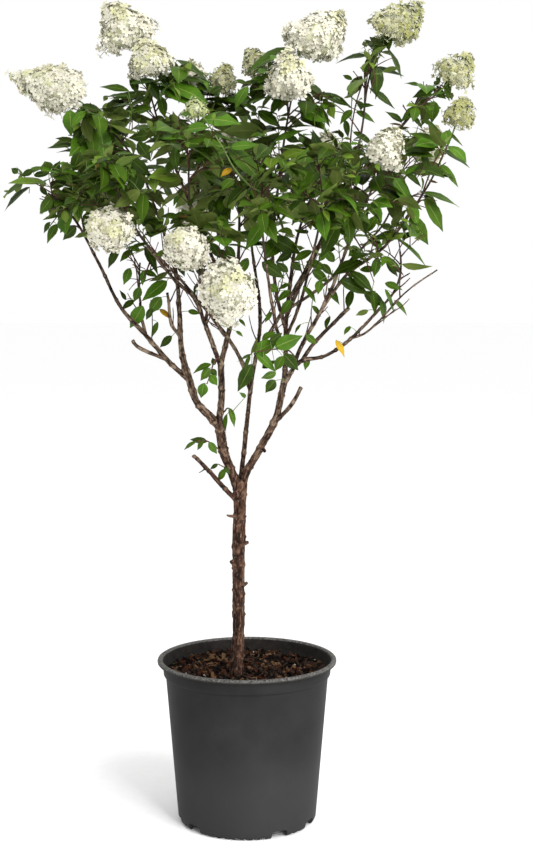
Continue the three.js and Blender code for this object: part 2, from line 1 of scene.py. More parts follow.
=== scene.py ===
# %% [markdown]
# # A panicle hydrangea grown as a small tree, in its nursery pot
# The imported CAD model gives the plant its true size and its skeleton: a pot, the mulch in it, a trunk,
# the limbs, and a mass of foliage at the end of each limb. This lesson keeps that skeleton and dresses
# it: a turned pot, loose bark chips, bark with relief, and a crown that is grown leaf by leaf from the
# same rule as the solids.

# %% Load the model and measure it
import math
import bpy
import numpy as np
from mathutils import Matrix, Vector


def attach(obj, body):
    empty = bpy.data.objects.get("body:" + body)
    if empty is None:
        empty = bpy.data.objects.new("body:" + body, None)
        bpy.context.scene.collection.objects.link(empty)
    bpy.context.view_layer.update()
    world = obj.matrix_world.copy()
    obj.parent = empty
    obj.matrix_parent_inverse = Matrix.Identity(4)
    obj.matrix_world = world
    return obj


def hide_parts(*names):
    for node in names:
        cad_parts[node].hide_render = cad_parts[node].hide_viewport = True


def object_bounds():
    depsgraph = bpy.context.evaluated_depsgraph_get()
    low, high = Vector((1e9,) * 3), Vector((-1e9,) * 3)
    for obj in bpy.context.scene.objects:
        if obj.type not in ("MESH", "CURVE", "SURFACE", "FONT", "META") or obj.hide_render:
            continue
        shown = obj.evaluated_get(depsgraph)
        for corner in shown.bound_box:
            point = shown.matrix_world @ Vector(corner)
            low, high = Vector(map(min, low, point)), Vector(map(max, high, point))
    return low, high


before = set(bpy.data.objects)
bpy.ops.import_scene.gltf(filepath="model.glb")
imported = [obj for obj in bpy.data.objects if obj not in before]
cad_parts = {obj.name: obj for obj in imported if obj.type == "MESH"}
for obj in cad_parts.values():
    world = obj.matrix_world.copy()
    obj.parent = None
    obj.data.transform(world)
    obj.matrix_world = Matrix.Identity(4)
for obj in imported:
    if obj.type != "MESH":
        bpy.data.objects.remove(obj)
cad_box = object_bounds()
NODES = sorted(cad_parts)
print("nodes:", len(NODES), "box:", [[round(v, 3) for v in corner] for corner in cad_box])

# %% [markdown]
# ## Units, colours and chance
# The plant is described in millimetres, and Blender works in metres. Colours are picked as sRGB hex
# values and turned to linear once. Random choices repeat their numbers from a seed, so that the plant is
# the same each time it is grown.

# %% Units, colours and chance
MM = 0.001
GOLDEN_ANGLE = 2.39996  # radians, about 137.5 degrees
UP = np.array([0.0, 0.0, 1.0])


def linear(hex_colour, alpha=1.0):
    """An sRGB hex colour as the linear colour that a shader takes."""
    parts = [int(hex_colour[i:i + 2], 16) / 255 for i in (1, 3, 5)]
    return [p / 12.92 if p <= 0.04045 else ((p + 0.055) / 1.055) ** 2.4 for p in parts] + [alpha]


class Chance:
    """Numbers from 0 to 1 that a seed repeats, by the same rule as the solids."""
    TIMES, PLUS, WHOLE = 1664525, 1013904223, 2 ** 32

    def __init__(self, seed):
        self.state = int(seed) % self.WHOLE
        for _ in range(4):
            self()

    def __call__(self, low=0.0, high=1.0):
        self.state = (self.state * self.TIMES + self.PLUS) % self.WHOLE
        return low + (high - low) * self.state / self.WHOLE


def unit(v):
    v = np.asarray(v, float)
    return v / max(np.linalg.norm(v), 1e-9)


print("leaf green in linear light:", [round(v, 3) for v in linear("#3c6626")])

# %% [markdown]
# ## Nodes without repetition
# A material is a small graph. One function adds a node with its links, and a few more name the steps that
# come back in every finish, so that each finish below reads as a list of what it is made of.

# %% A helper for material nodes
def add_node(tree, kind, settings=(), **links):
    """A shader node with its settings, and for each named socket a value or another node's socket."""
    node = tree.nodes.new(kind)
    for name, value in dict(settings).items():
        setattr(node, name, value)
    for name, value in links.items():
        socket = node.inputs[int(name[1:])] if name[1:].isdigit() else node.inputs[name.replace("_", " ")]
        if isinstance(value, bpy.types.NodeSocket):
            tree.links.new(value, socket)
        else:
            socket.default_value = value
    return node


def new_material(name, roughness, ior=1.45, specular=0.5, **sockets):
    """An empty finish: its node tree, its shader, and object coordinates to draw patterns with."""
    material = bpy.data.materials.new(name)
    material.use_nodes = True
    tree = material.node_tree
    shader = tree.nodes["Principled BSDF"]
    sockets.update(Roughness=roughness, IOR=ior, Specular_IOR_Level=specular)
    for socket, value in sockets.items():
        shader.inputs[socket.replace("_", " ")].default_value = value
    place = add_node(tree, "ShaderNodeTexCoord").outputs["Object"]
    return material, tree, shader, place


# %% Steps that come back in every finish
def ramp(tree, value, stops):
    """A colour ramp from (position, hex colour) stops."""
    node = add_node(tree, "ShaderNodeValToRGB", Fac=value)
    elements = node.color_ramp.elements
    while len(elements) < len(stops):
        elements.new(0.5)
    for element, (position, colour) in zip(elements, stops):
        element.position = position
        element.color = linear(colour)
    return node.outputs["Color"]


def noise(tree, place, scale, detail=2.0, roughness=0.5):
    """The grey value of a noise texture with about scale lumps to the metre."""
    return add_node(tree, "ShaderNodeTexNoise", Vector=place, Scale=scale, Detail=detail,
                    Roughness=roughness).outputs["Fac"]


def calculate(tree, operation, *values):
    """The result of one step of arithmetic."""
    links = {"_%d" % k: value for k, value in enumerate(values)}
    return add_node(tree, "ShaderNodeMath", {"operation": operation}, **links).outputs[0]


def eased(tree, value, start, end, most=1.0, curve="SMOOTHSTEP"):
    """0 where a value is at start, and most where it is at end, with an eased change between."""
    return add_node(tree, "ShaderNodeMapRange", {"interpolation_type": curve}, Value=value,
                    From_Min=start, From_Max=end, To_Max=most).outputs["Result"]


def blend(tree, share, colour, other):
    """One colour that turns into the other as share goes from 0 to 1."""
    return add_node(tree, "ShaderNodeMix", {"data_type": "RGBA"}, _0=share, _6=colour,
                    _7=other).outputs[2]


def stretched(tree, place, scale):
    """Coordinates drawn out along the axes whose scale is small."""
    return add_node(tree, "ShaderNodeMapping", Vector=place, Scale=scale).outputs["Vector"]


def dress(tree, shader, colour, height, strength, depth, sunk=False):
    """Gives a shader its colour, and relief from a height, depth metres deep."""
    tree.links.new(colour, shader.inputs["Base Color"])
    bump = add_node(tree, "ShaderNodeBump", {"invert": sunk}, Height=height, Strength=strength,
                    Distance=depth)
    tree.links.new(bump.outputs["Normal"], shader.inputs["Normal"])


def speckled(name, skin, grain, stops, relief):
    """A finish that follows one noise: skin is roughness, IOR and specular level, grain is the noise's
    scale, detail and roughness, and relief is the bump's strength and depth."""
    material, tree, shader, place = new_material(name, *skin)
    spots = noise(tree, place, *grain)
    dress(tree, shader, ramp(tree, spots, stops), spots, *relief)
    return material


# %% [markdown]
# ## Camera, floor and light
# The photograph is a studio cut-out: a long lens, white all round, and soft light with a faint shadow by
# the pot. The pot's rim and foot give the camera: two ellipses of known size fix its height, its distance
# and its tilt.

# %% The camera
IMAGE_WIDTH, IMAGE_HEIGHT = 533, 843  # the photograph, in pixels
FOCAL_PIXELS = 1536
SENSOR = 36
CAMERA_PLACE = (0.0388, -3.0, 1.090)
CAMERA_TILT = 5.56


def new_object(name, data):
    """An object for some data, linked into the scene."""
    obj = bpy.data.objects.new(name, data)
    bpy.context.collection.objects.link(obj)
    return obj


camera = new_object("camera", bpy.data.cameras.new("camera"))
camera.location = CAMERA_PLACE
camera.rotation_euler = (math.radians(90 - CAMERA_TILT), 0, 0)
camera.data.sensor_fit = "VERTICAL"
camera.data.sensor_height = SENSOR
camera.data.lens = FOCAL_PIXELS / IMAGE_HEIGHT * SENSOR
bpy.context.scene.camera = camera
bpy.context.scene.view_settings.view_transform = "Standard"
print("lens:", round(camera.data.lens, 1), "mm")

# %% The white floor
FLOOR_SIZE = 60
FLOOR_DROP = 0.0005  # keeps the floor's face clear of the pot's underside

bpy.ops.object.select_all(action="DESELECT")
bpy.ops.mesh.primitive_plane_add(size=FLOOR_SIZE, location=(0, 0, -FLOOR_DROP))
floor = bpy.context.object
floor.name = "studio_floor"
paper, tree, shader, place = new_material("white paper backdrop", 0.9, specular=0.1)
grain = noise(tree, place, 40.0)
tree.links.new(ramp(tree, grain, [(0.3, "#fcfcfc"), (0.7, "#ffffff")]), shader.inputs["Base Color"])
floor.data.materials.append(paper)

# %% White all round, and two soft lamps
world = bpy.data.worlds.new("studio")
bpy.context.scene.world = world
world.use_nodes = True
background = world.node_tree.nodes["Background"].inputs
background["Color"].default_value = linear("#ffffff")
background["Strength"].default_value = 1.0


def softbox(name, place, target, size, watts, spread):
    """A square area light at a place, turned to face a target, with its light kept within a spread."""
    lamp = new_object(name, bpy.data.lights.new(name, "AREA"))
    lamp.data.size = size
    lamp.data.energy = watts
    lamp.data.spread = math.radians(spread)
    ray = np.subtract(target, place)
    flat = math.hypot(ray[0], ray[1])
    lamp.location = place
    lamp.rotation_euler = (math.atan2(flat, -ray[2]), 0, math.atan2(ray[1], ray[0]) - math.pi / 2)


softbox("key_light", (2.0, -2.6, 2.9), (0, 0, 0.9), 2.2, watts=145, spread=180)
softbox("low_light", (1.1, -2.4, 0.4), (0, 0, 0.12), 0.5, watts=2.2, spread=40)

# %% [markdown]
# ## Modelling tools
# Pieces are modelled as by hand, from a primitive with operators. Each step first picks just what it
# works on, and a finished piece is applied, so that its place is in its mesh.

# %% Modelling tools
def pick(*objects):
    """Selects only these objects, and makes the first one active."""
    if bpy.context.object and bpy.context.object.mode != "OBJECT":
        bpy.ops.object.mode_set(mode="OBJECT")
    bpy.ops.object.select_all(action="DESELECT")
    for obj in objects:
        obj.select_set(True)
    if objects:
        bpy.context.view_layer.objects.active = objects[0]


def finish_piece(obj, name, materials, nodes=()):
    """Names a piece, gives it its materials, lets it ride on the plant, and hides the CAD nodes it
    replaces.
    """
    pick(obj)
    bpy.ops.object.transform_apply(location=True, rotation=True, scale=True)
    obj.name = obj.data.name = name
    for material in materials:
        obj.data.materials.append(material)
    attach(obj, "root")
    if nodes:
        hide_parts(*nodes)
    print(name, "has", sum(len(p.vertices) - 2 for p in obj.data.polygons), "triangles")


def apply_modifier(obj, kind, **settings):
    pick(obj)
    modifier = obj.modifiers.new(kind.lower(), kind)
    for name, value in settings.items():
        setattr(modifier, name, value)
    bpy.ops.object.modifier_apply(modifier=modifier.name)


def shade_by_angle(obj, degrees):
    pick(obj)
    bpy.ops.object.shade_smooth_by_angle(angle=math.radians(degrees))


# %% [markdown]
# ### Meshes from arrays
# Thousands of leaves are worked out as arrays of points and faces, and each array becomes one mesh. Thin
# shapes keep a sharp rim, or their two sides would be shaded as one round edge.

# %% Meshes from arrays
RIM_ANGLE = math.radians(100)


def mesh_from_arrays(name, verts, faces, tones=None, smooth=True):
    """One object from arrays of points and of faces; tones gives each face its material."""
    mesh = bpy.data.meshes.new(name)
    verts = np.asarray(verts, np.float32)
    faces = np.asarray(faces, np.int32)
    mesh.vertices.add(len(verts))
    mesh.vertices.foreach_set("co", verts.ravel())
    mesh.loops.add(faces.size)
    mesh.loops.foreach_set("vertex_index", faces.ravel())
    mesh.polygons.add(len(faces))
    starts = np.arange(0, faces.size, faces.shape[1], dtype=np.int32)
    mesh.polygons.foreach_set("loop_start", starts)
    if tones is not None:
        mesh.polygons.foreach_set("material_index", np.asarray(tones, np.int32))
    mesh.polygons.foreach_set("use_smooth", np.full(len(faces), smooth))
    mesh.update(calc_edges=True)
    mesh.validate()
    if smooth:
        mesh.set_sharp_from_angle(angle=RIM_ANGLE)
    return new_object(name, mesh)


def mesh_points(obj):
    points = np.empty(len(obj.data.vertices) * 3, np.float32)
    obj.data.vertices.foreach_get("co", points)
    return points.reshape(-1, 3).astype(float)


# %% [markdown]
# ### Noise that can be worked out anywhere
# Lumps in bark, flower heads and compost come from one smooth noise. Each corner of a grid gets a number
# mixed from its place by large primes, and points between corners take an even blend.

# %% Noise that can be worked out anywhere
AXIS_PRIMES = np.array([73856093, 19349663, 83492791])
SEED_PRIME, MIX_PRIME = 2654435761, 1274126177


def lattice_noise(points, size, seed):
    """Smooth noise from -1 to 1 at points, with lumps of the given size (one number or one per axis)."""
    grid = points / np.asarray(size, float) + 1000.0
    cell = np.floor(grid).astype(np.int64)
    part = grid - cell
    part = part * part * (3 - 2 * part)
    total = np.zeros(len(points))
    for corner in range(8):
        step = np.array([corner & 1, corner >> 1 & 1, corner >> 2 & 1])
        key = (cell + step) @ AXIS_PRIMES + seed * SEED_PRIME
        key = (key ^ (key >> 13)) * MIX_PRIME & 0xFFFFFFFF
        value = ((key ^ (key >> 16)) & 0xFFFF) / 32767.5 - 1
        weight = np.prod(np.where(step, part, 1 - part), axis=1)
        total += weight * value
    return total


# %% [markdown]
# ## The nursery pot
# The pot is blow-moulded polyethylene, with a rolled lip, a shallow collar under it, a long even taper
# and a rounded foot. It grows from its underside: one disc is extruded and scaled ring by ring, up the
# outside, over the lip and down the inside, which gives a closed wall of true thickness.

# %% The pot's shape
POT_RINGS = [  # radius and height in millimetres, from the raised underside up and over the lip
    (112, 17), (122, 16.4), (126, 9), (128, 1.2), (130.5, 0), (133.5, 1.0), (136, 3.4), (137.8, 7.5),
    (139.2, 22), (150.6, 160), (161.4, 290.5), (161.9, 292.8), (165.0, 294.4), (166.0, 296.6),
    (166.2, 300.5), (167.6, 314.5), (170, 316.6), (175.6, 317.2), (177.6, 319.2), (178, 322),
    (177.2, 324.6), (175, 325.9), (171.5, 326), (169, 325), (167.4, 322.5), (166, 317), (164.3, 303),
    (160.5, 297), (149, 160), (137.2, 26), (133, 21), (112, 20),
]


def extruded_rings(rings, sides):
    """A disc extruded and scaled through a list of radii and heights."""
    pick()
    radius, height = rings[0]
    bpy.ops.mesh.primitive_circle_add(vertices=sides, radius=radius * MM, fill_type="NGON",
                                      location=(0, 0, height * MM))
    obj = bpy.context.object
    bpy.ops.object.mode_set(mode="EDIT")
    bpy.ops.mesh.select_all(action="SELECT")
    for new_radius, new_height in rings[1:]:
        bpy.ops.mesh.extrude_region_move(
            TRANSFORM_OT_translate={"value": (0, 0, (new_height - height) * MM)})
        scale = new_radius / radius
        bpy.ops.transform.resize(value=(scale, scale, 1))
        radius, height = new_radius, new_height
    bpy.ops.mesh.select_all(action="SELECT")
    bpy.ops.mesh.normals_make_consistent(inside=False)
    bpy.ops.object.mode_set(mode="OBJECT")
    return obj


pot = extruded_rings(POT_RINGS, 128)
print("pot height:", round(pot.dimensions.z / MM, 1), "mm, rim:", round(pot.dimensions.x / MM, 1), "mm")

# %% [markdown]
# ### Drain slots
# The pot stands on a foot ring, and its underside is raised. Nine slots through the ring let the water
# out, and between them the edge is scalloped. A bevelled box is placed for each slot and scallop, and
# one Boolean takes them all away.

# %% Drain slots
FOOT_RADIUS = 0.1395
SLOT_TURNS = [12.6, 48.6, 84.6, 120.6, 156.6, 192.6, 221.5, 298, 334]
SLOT_SIZE, SLOT_BEVEL = (0.040, 0.034, 0.029), 0.0060
SCALLOP_SIZE, SCALLOP_BEVEL = (0.040, 0.0105, 0.0085), 0.0024
SCALLOP_COUNT = 52
SLOT_CLEARANCE = 10.5  # degrees from the middle of a slot to the nearest scallop's


def foot_cutter(turn, size, bevel):
    """A bevelled box on the foot ring, to be cut away."""
    pick()
    turn = math.radians(turn)
    bpy.ops.mesh.primitive_cube_add(
        size=1, location=(FOOT_RADIUS * math.cos(turn), FOOT_RADIUS * math.sin(turn), 0))
    cutter = bpy.context.object
    cutter.scale = size
    cutter.rotation_euler = (0, 0, turn)
    bpy.ops.object.transform_apply(location=True, rotation=True, scale=True)
    apply_modifier(cutter, "BEVEL", width=bevel, segments=3)
    return cutter


cutters = [foot_cutter(turn, SLOT_SIZE, SLOT_BEVEL) for turn in SLOT_TURNS]
for turn in np.arange(SCALLOP_COUNT) * 360 / SCALLOP_COUNT:
    if min(abs((turn - slot + 180) % 360 - 180) for slot in SLOT_TURNS) > SLOT_CLEARANCE:
        cutters.append(foot_cutter(turn, SCALLOP_SIZE, SCALLOP_BEVEL))
print("slots:", len(SLOT_TURNS), "scallops:", len(cutters) - len(SLOT_TURNS))
pick(*cutters)
bpy.ops.object.join()
cutter = bpy.context.object
apply_modifier(pot, "BOOLEAN", object=cutter, operation="DIFFERENCE", solver="EXACT")
bpy.data.objects.remove(cutter)
shade_by_angle(pot, 35)

# %% [markdown]
# ### Moulded polyethylene
# Polyethylene straight from the mould is satin, with an IOR of 1.5, and carbon black makes it charcoal.
# Worn patches and a painted highlight make it paler on the top of the lip only, and watering splashes dust
# over its lower half. The mould leaves fine vertical drag marks, drawn about 3 mm apart so that they show.

# %% Moulded polyethylene
SPLASHED = (0.24, 0.06)  # metres up: where the dust begins and where it is full
# the top of the lip, paler from worn patches and from a painted highlight
LIP_WEAR_AND_HIGHLIGHT = (0.3190, 0.3245)

polyethylene, tree, shader, place = new_material("blow-moulded polyethylene", 0.55, 1.5, 0.06)
mottle = noise(tree, place, 9.0, 5.0, 0.6)
clean = ramp(tree, mottle, [(0.3, "#1d1d1d"), (0.55, "#232323"), (0.75, "#292929")])
height = add_node(tree, "ShaderNodeSeparateXYZ", Vector=place).outputs["Z"]
dust = eased(tree, height, *SPLASHED, most=0.55, curve="SMOOTHERSTEP")
body = blend(tree, dust, clean, linear("#333333"))
scuffs = eased(tree, noise(tree, place, 240.0, 5.0), 0.30, 0.80, curve="LINEAR")
# Worn patches kept to the top of the lip, where their paler colour is also a painted highlight.
worn_and_highlit = calculate(tree, "MULTIPLY", eased(tree, height, *LIP_WEAR_AND_HIGHLIGHT), scuffs)
drag_marks = noise(tree, stretched(tree, place, (330, 330, 6)), 1.0)
dress(tree, shader, blend(tree, worn_and_highlit, body, linear("#767470")), drag_marks, 0.12, 0.0006)

# %% [markdown]
# ### The inner wall
# Inside, fine peat has dried on the wall in a dull brown-black film, and its colour is darker still as
# painted shade inside the pot. Its faces are picked by their place, inside the lip and above the compost.

# %% The inner wall
INNER_WALL = (0.01, 0.3215)  # metres up

# Near black inside: a dried peat film, darkened further as painted shade in the pot's recess.
peat_and_painted_shade = speckled("polyethylene with dried peat and painted shade", (0.8, 1.45, 0.2), (70.0, 5.0, 0.65),
                   [(0.35, "#0f0d0c"), (0.7, "#221e1a")], (0.3, 0.0006))
finish_piece(pot, "nursery_pot", [polyethylene, peat_and_painted_shade], ["pot"])
for face in pot.data.polygons:
    middle = face.center
    outward = math.hypot(middle.x, middle.y) * face.normal.dot(middle.normalized())
    if outward < 0 and INNER_WALL[0] < middle.z < INNER_WALL[1]:
        face.material_index = 1

# %% [markdown]
# ## The mulch
# The pot is filled with fibrous bark chips 8 to 28 mm long, with a few white grains of perlite. One chip
# is modelled from a cube and roughened in six variants, which are copied as arrays, each copy turned and
# sized by chance, so that all of them are one mesh.

# %% One bark chip
def bark_chip(seed):
    """A split flake of bark, about 1 long, as points and quads."""
    pick()
    bpy.ops.mesh.primitive_cube_add(size=1)
    chip = bpy.context.object
    bpy.ops.object.mode_set(mode="EDIT")
    bpy.ops.mesh.select_all(action="SELECT")
    bpy.ops.transform.resize(value=(1, 0.46, 0.2))
    bpy.ops.mesh.subdivide(number_cuts=1)
    bpy.ops.transform.vertex_random(offset=0.11, uniform=0.2, normal=0, seed=seed)
    bpy.ops.object.mode_set(mode="OBJECT")
    verts = np.array([v.co[:] for v in chip.data.vertices])
    faces = np.array([p.vertices[:] for p in chip.data.polygons])
    bpy.data.objects.remove(chip)
    return verts, faces


CHIPS = [bark_chip(seed) for seed in range(6)]
print("faces on a chip:", len(CHIPS[0][1]))

# %% [markdown]
# ### Joining many small things
# A pile collects copies of small shapes: points, faces and the tone of each face. It becomes one mesh in
# one step, which is far quicker than joining objects.

# %% A pile of small shapes
class Pile:
    """Copies of small quad shapes that become one mesh."""

    def __init__(self):
        self.verts, self.faces, self.tones, self.count = [], [], [], 0

    def add(self, verts, faces, tone):
        self.verts.append(np.asarray(verts, float))
        self.faces.append(np.asarray(faces) + self.count)
        self.tones.append(np.full(len(faces), tone))
        self.count += len(verts)

    def become(self, name, smooth=True):
        return mesh_from_arrays(name, np.concatenate(self.verts) * MM, np.concatenate(self.faces),
                                np.concatenate(self.tones), smooth)


def turned(chance, tilt):
    """A random turn about the vertical with a random lean, as a 3 by 3 matrix."""
    turns = chance(0, math.tau), chance(-tilt, tilt), chance(-tilt, tilt)
    (cs, ss), (cl, sl), (cr, sr) = [(math.cos(turn), math.sin(turn)) for turn in turns]
    about_z = np.array([[cs, -ss, 0], [ss, cs, 0], [0, 0, 1]])
    about_y = np.array([[cl, 0, sl], [0, 1, 0], [-sl, 0, cl]])
    about_x = np.array([[1, 0, 0], [0, cr, -sr], [0, sr, cr]])
    return about_z @ about_y @ about_x


# %% [markdown]
# ### Chips over the whole surface
# Seven chips in ten are short. Chance places them evenly over the disc, sinks them a little at the wall,
# draws in any that would cut through it, and leaves room for the trunk. The perlite lies on top.

# %% Chips over the whole surface
SOIL_LEVEL, SOIL_RADIUS = 302, 161
TRUNK_FOOT = np.array([-20.6, -30])
TRUNK_ROOM = 15
CHIP_COUNT, PERLITE_COUNT = 2500, 26
CHIP_TONES = (0.38, 0.68, 0.87)  # shares of the chips up to each tone
PERLITE_TONE = 4


def on_disc(far, turn, height):
    return np.array([far * math.cos(turn), far * math.sin(turn), height])


chance = Chance(41)
mulch_pile = Pile()
for index in range(CHIP_COUNT):
    far = SOIL_RADIUS * math.sqrt(chance(0.0, 0.985))
    turn = chance(0, math.tau)
    length = chance(8, 16) if chance() < 0.7 else chance(16, 28)
    verts, faces = CHIPS[int(chance(0, 5.999))]
    size = np.array([length, length * chance(0.3, 0.8), length * chance(0.5, 1.1)])
    matrix = turned(chance, 0.75)
    tone = np.searchsorted(CHIP_TONES, chance(), side="right")
    height = SOIL_LEVEL - 1.5 + chance(-4, 4.5) - 3.0 * (far / SOIL_RADIUS) ** 6
    spot = on_disc(far, turn, height)
    reach = np.abs(verts[:, 0]).max() * length
    if math.hypot(spot[0], spot[1]) + reach > SOIL_RADIUS:
        spot[:2] *= (SOIL_RADIUS - reach) / math.hypot(spot[0], spot[1])
    if np.linalg.norm(spot[:2] - TRUNK_FOOT) >= TRUNK_ROOM:
        mulch_pile.add(verts * size @ matrix.T + spot, faces, tone)
for index in range(PERLITE_COUNT):
    verts, faces = CHIPS[index % len(CHIPS)]
    far, turn = SOIL_RADIUS * math.sqrt(chance(0.05, 0.9)), chance(0, math.tau)
    size = chance(2.2, 4.2) * np.array([1, 1.6, 3.5])
    grain = verts * size @ turned(chance, 1.2).T
    mulch_pile.add(grain + on_disc(far, turn, SOIL_LEVEL + 1.5), faces, PERLITE_TONE)
mulch = mulch_pile.become("bark_mulch", smooth=False)
print("chips and grains:", len(mulch_pile.verts))

# %% [markdown]
# ### Compost under the chips
# What shows between chips is nearly black compost. A disc just below them, dished at the wall and broken
# up with noise, is enough.

# %% Compost under the chips
COMPOST_RINGS = [(150, 288), (159.4, 292), (158.5, 296), (150, 299), (120, 300), (80, 300.4),
                 (40, 300.6), (12, 299.6)]
CRUMB_SIZE, CRUMB_HEIGHT = 0.009, 0.0014
COMPOST_DROP = 0.001

compost = extruded_rings(COMPOST_RINGS, 64)
crumble = lattice_noise(mesh_points(compost), CRUMB_SIZE, 5) * CRUMB_HEIGHT
for vertex, rise in zip(compost.data.vertices, crumble):
    if vertex.co.z > 0.298:
        vertex.co.z += rise - COMPOST_DROP

# %% [markdown]
# ### Tones of the mulch
# Pine bark weathers from orange-brown inside to grey-brown outside. Four tones are dealt out chip by
# chip, each mottled in patches 1 to 2 mm across. Wet bark is matt here, so the roughness is high.

# %% Tones of the mulch
def chip_finish(name, dark, light):
    return speckled(name, (0.88, 1.4, 0.08), (420.0, 4.0, 0.7), [(0.32, dark), (0.68, light)],
                    (0.5, 0.0008))


chip_finishes = [
    chip_finish("pine bark, dark side", "#040202", "#140f0b"),
    chip_finish("pine bark, weathered", "#0d0907", "#3b2d25"),
    chip_finish("pine bark, heartwood side", "#160905", "#462718"),
    chip_finish("pine bark, split face", "#2d1c13", "#72593f"),
    chip_finish("perlite grain", "#737b7c", "#9fabb1"),
]
compost_finish = chip_finish("moist compost", "#060403", "#170e09")
finish_piece(mulch, "bark_mulch", chip_finishes, ["soil"])
finish_piece(compost, "compost", [compost_finish])

# %% [markdown]
# ## The limbs
# A tree-form hydrangea has one bare stem, pruned hard each spring, so it forks into knuckled boughs with
# old stubs between them. Each limb is a middle line in millimetres with a radius at its foot and at its
# tip. These are the same lines as in the solids, because the crown hangs on them.

# %% Middle lines of the limbs
LIMBS = {
    "trunk": ([(-21, -30, 290), (-17, -29, 368), (-16, -26, 527), (-14, -22, 626), (-13, -20, 683)],
              11.7, 12.4),
    "trunk_stub": ([(-16, -20, 640), (-52, -38, 681), (-71, -46, 704), (-97, -56, 733)], 4.6, 3.8),
    "left_bough": ([(-13, -21, 653), (-27, -24, 697), (-43, -30, 737), (-50, -38, 777), (-56, -42, 811)],
                   9.4, 8.2),
    "left_outer_bough": ([(-55, -41, 795), (-70, -48, 813), (-95, -60, 841), (-109, -72, 887),
                          (-117, -76, 912)], 7.8, 6.4),
    "left_upright_bough": ([(-116, -75, 906), (-124, -70, 948), (-128, -56, 1018), (-139, -30, 1103),
                            (-190, 0, 1252)], 6.2, 2.6),
    "far_left_bough": ([(-108, -71, 883), (-151, -80, 924), (-190, -88, 971), (-236, -90, 1023),
                        (-270, -84, 1090), (-305, -74, 1158)], 5, 2.6),
    "left_stub": ([(-149, -80, 923), (-199, -96, 946), (-214, -102, 962)], 3.4, 2.8),
    "left_spur": ([(-127, -64, 968), (-143, -74, 995), (-149, -82, 1051)], 2.9, 2.4),
    "left_low_bough": ([(-189, -88, 969), (-198, -72, 999), (-202, -62, 1031)], 2.8, 2.2),
    "inner_bough": ([(-54, -41, 797), (-49, -36, 837), (-48, -27, 876), (-51, -16, 920)], 6.4, 5.8),
    "inner_left_bough": ([(-51, -17, 910), (-80, -45, 993), (-98, -75, 1040), (-136, -110, 1078),
                          (-181, -137, 1138)], 4.6, 2.6),
    "inner_right_bough": ([(-50, -17, 912), (-39, -8, 956), (-30, 0, 995), (-21, 14, 1055),
                           (-17, 22, 1109)], 5.4, 3.6),
    "inner_rising_bough": ([(-29, 1, 999), (-48, 25, 1065), (-82, 45, 1153), (-147, 58, 1309)], 3.6, 2.4),
    "low_front_bough": ([(-80, -44, 990), (-73, -95, 1026), (-77, -150, 1066)], 3.2, 2.4),
    "front_left_bough": ([(-36, -7, 962), (-53, -40, 985), (-81, -100, 1051), (-98, -150, 1176)], 3.2, 2.2),
    "right_bough": ([(-13, -21, 653), (1, -27, 704), (29, -36, 752), (58, -46, 813), (74, -42, 883)],
                    8.4, 5.8),
    "right_stub": ([(52, -44, 797), (87, -66, 838), (105, -76, 871)], 3.8, 3.3),
    "right_upright_bough": ([(73, -43, 871), (76, -35, 930), (77, -22, 997), (90, 2, 1109)], 5.2, 3.4),
    "right_rising_bough": ([(78, -21, 1005), (104, 0, 1065), (143, 20, 1142), (202, 40, 1285)], 3.6, 2.3),
    "right_outer_rising_bough": ([(185, 36, 1238), (232, 18, 1291), (281, 0, 1347)], 2.3, 1.8),
    "central_rising_bough": ([(77, -27, 978), (57, -5, 1055), (51, 12, 1152), (67, 20, 1297)], 3.6, 2.3),
    "right_outer_bough": ([(73, -43, 875), (102, -56, 918), (154, -70, 932), (203, -82, 968),
                           (268, -90, 1037)], 4.6, 2.4),
    "right_bare_twig": ([(203, -81, 965), (236, -98, 983), (298, -115, 1051), (357, -124, 1094)], 2, 1),
    "right_spur": ([(105, -57, 918), (134, -44, 958), (198, -26, 1021)], 4, 3.2),
    "right_inner_bough": ([(88, -48, 900), (110, -66, 958), (155, -82, 1043), (202, -86, 1165)], 3.8, 2.4),
    "right_side_bough": ([(135, -77, 1005), (188, -76, 1081), (261, -78, 1137), (313, -76, 1206)],
                         2.8, 1.9),
    "front_right_bough": ([(76, -29, 963), (101, -72, 1026), (129, -125, 1140)], 3.2, 2.2),
    "front_centre_bough": ([(76, -34, 936), (53, -85, 1003), (36, -160, 1121)], 3.2, 2.2),
    "middle_bough": ([(-13, -18, 671), (-6, 0, 734), (8, 45, 866), (26, 100, 994), (9, 165, 1139)], 5, 3),
    "back_left_bough": ([(7, 42, 853), (-23, 90, 934), (-117, 140, 1053), (-199, 150, 1139)], 3.8, 2.4),
    "back_rising_bough": ([(-64, 118, 995), (-91, 150, 1110), (-103, 168, 1281)], 3, 2.2),
    "back_right_bough": ([(16, 68, 925), (66, 120, 1003), (145, 175, 1145)], 3.6, 2.4),
    "back_side_bough": ([(68, 120, 1005), (168, 135, 1074), (258, 132, 1165)], 2.8, 2),
}
ROOT_FLARE, FORK_SWELL = 3.0, 1.6  # how much thicker the trunk is at its foot and below the fork

# %% [markdown]
# ### Snags and knuckles
# Each cut that a pruner made has healed into a snag or a knuckle. Those that show are short limbs, given
# in the same way. Thick limbs are told from thin ones here, because each kind is made in its own way.

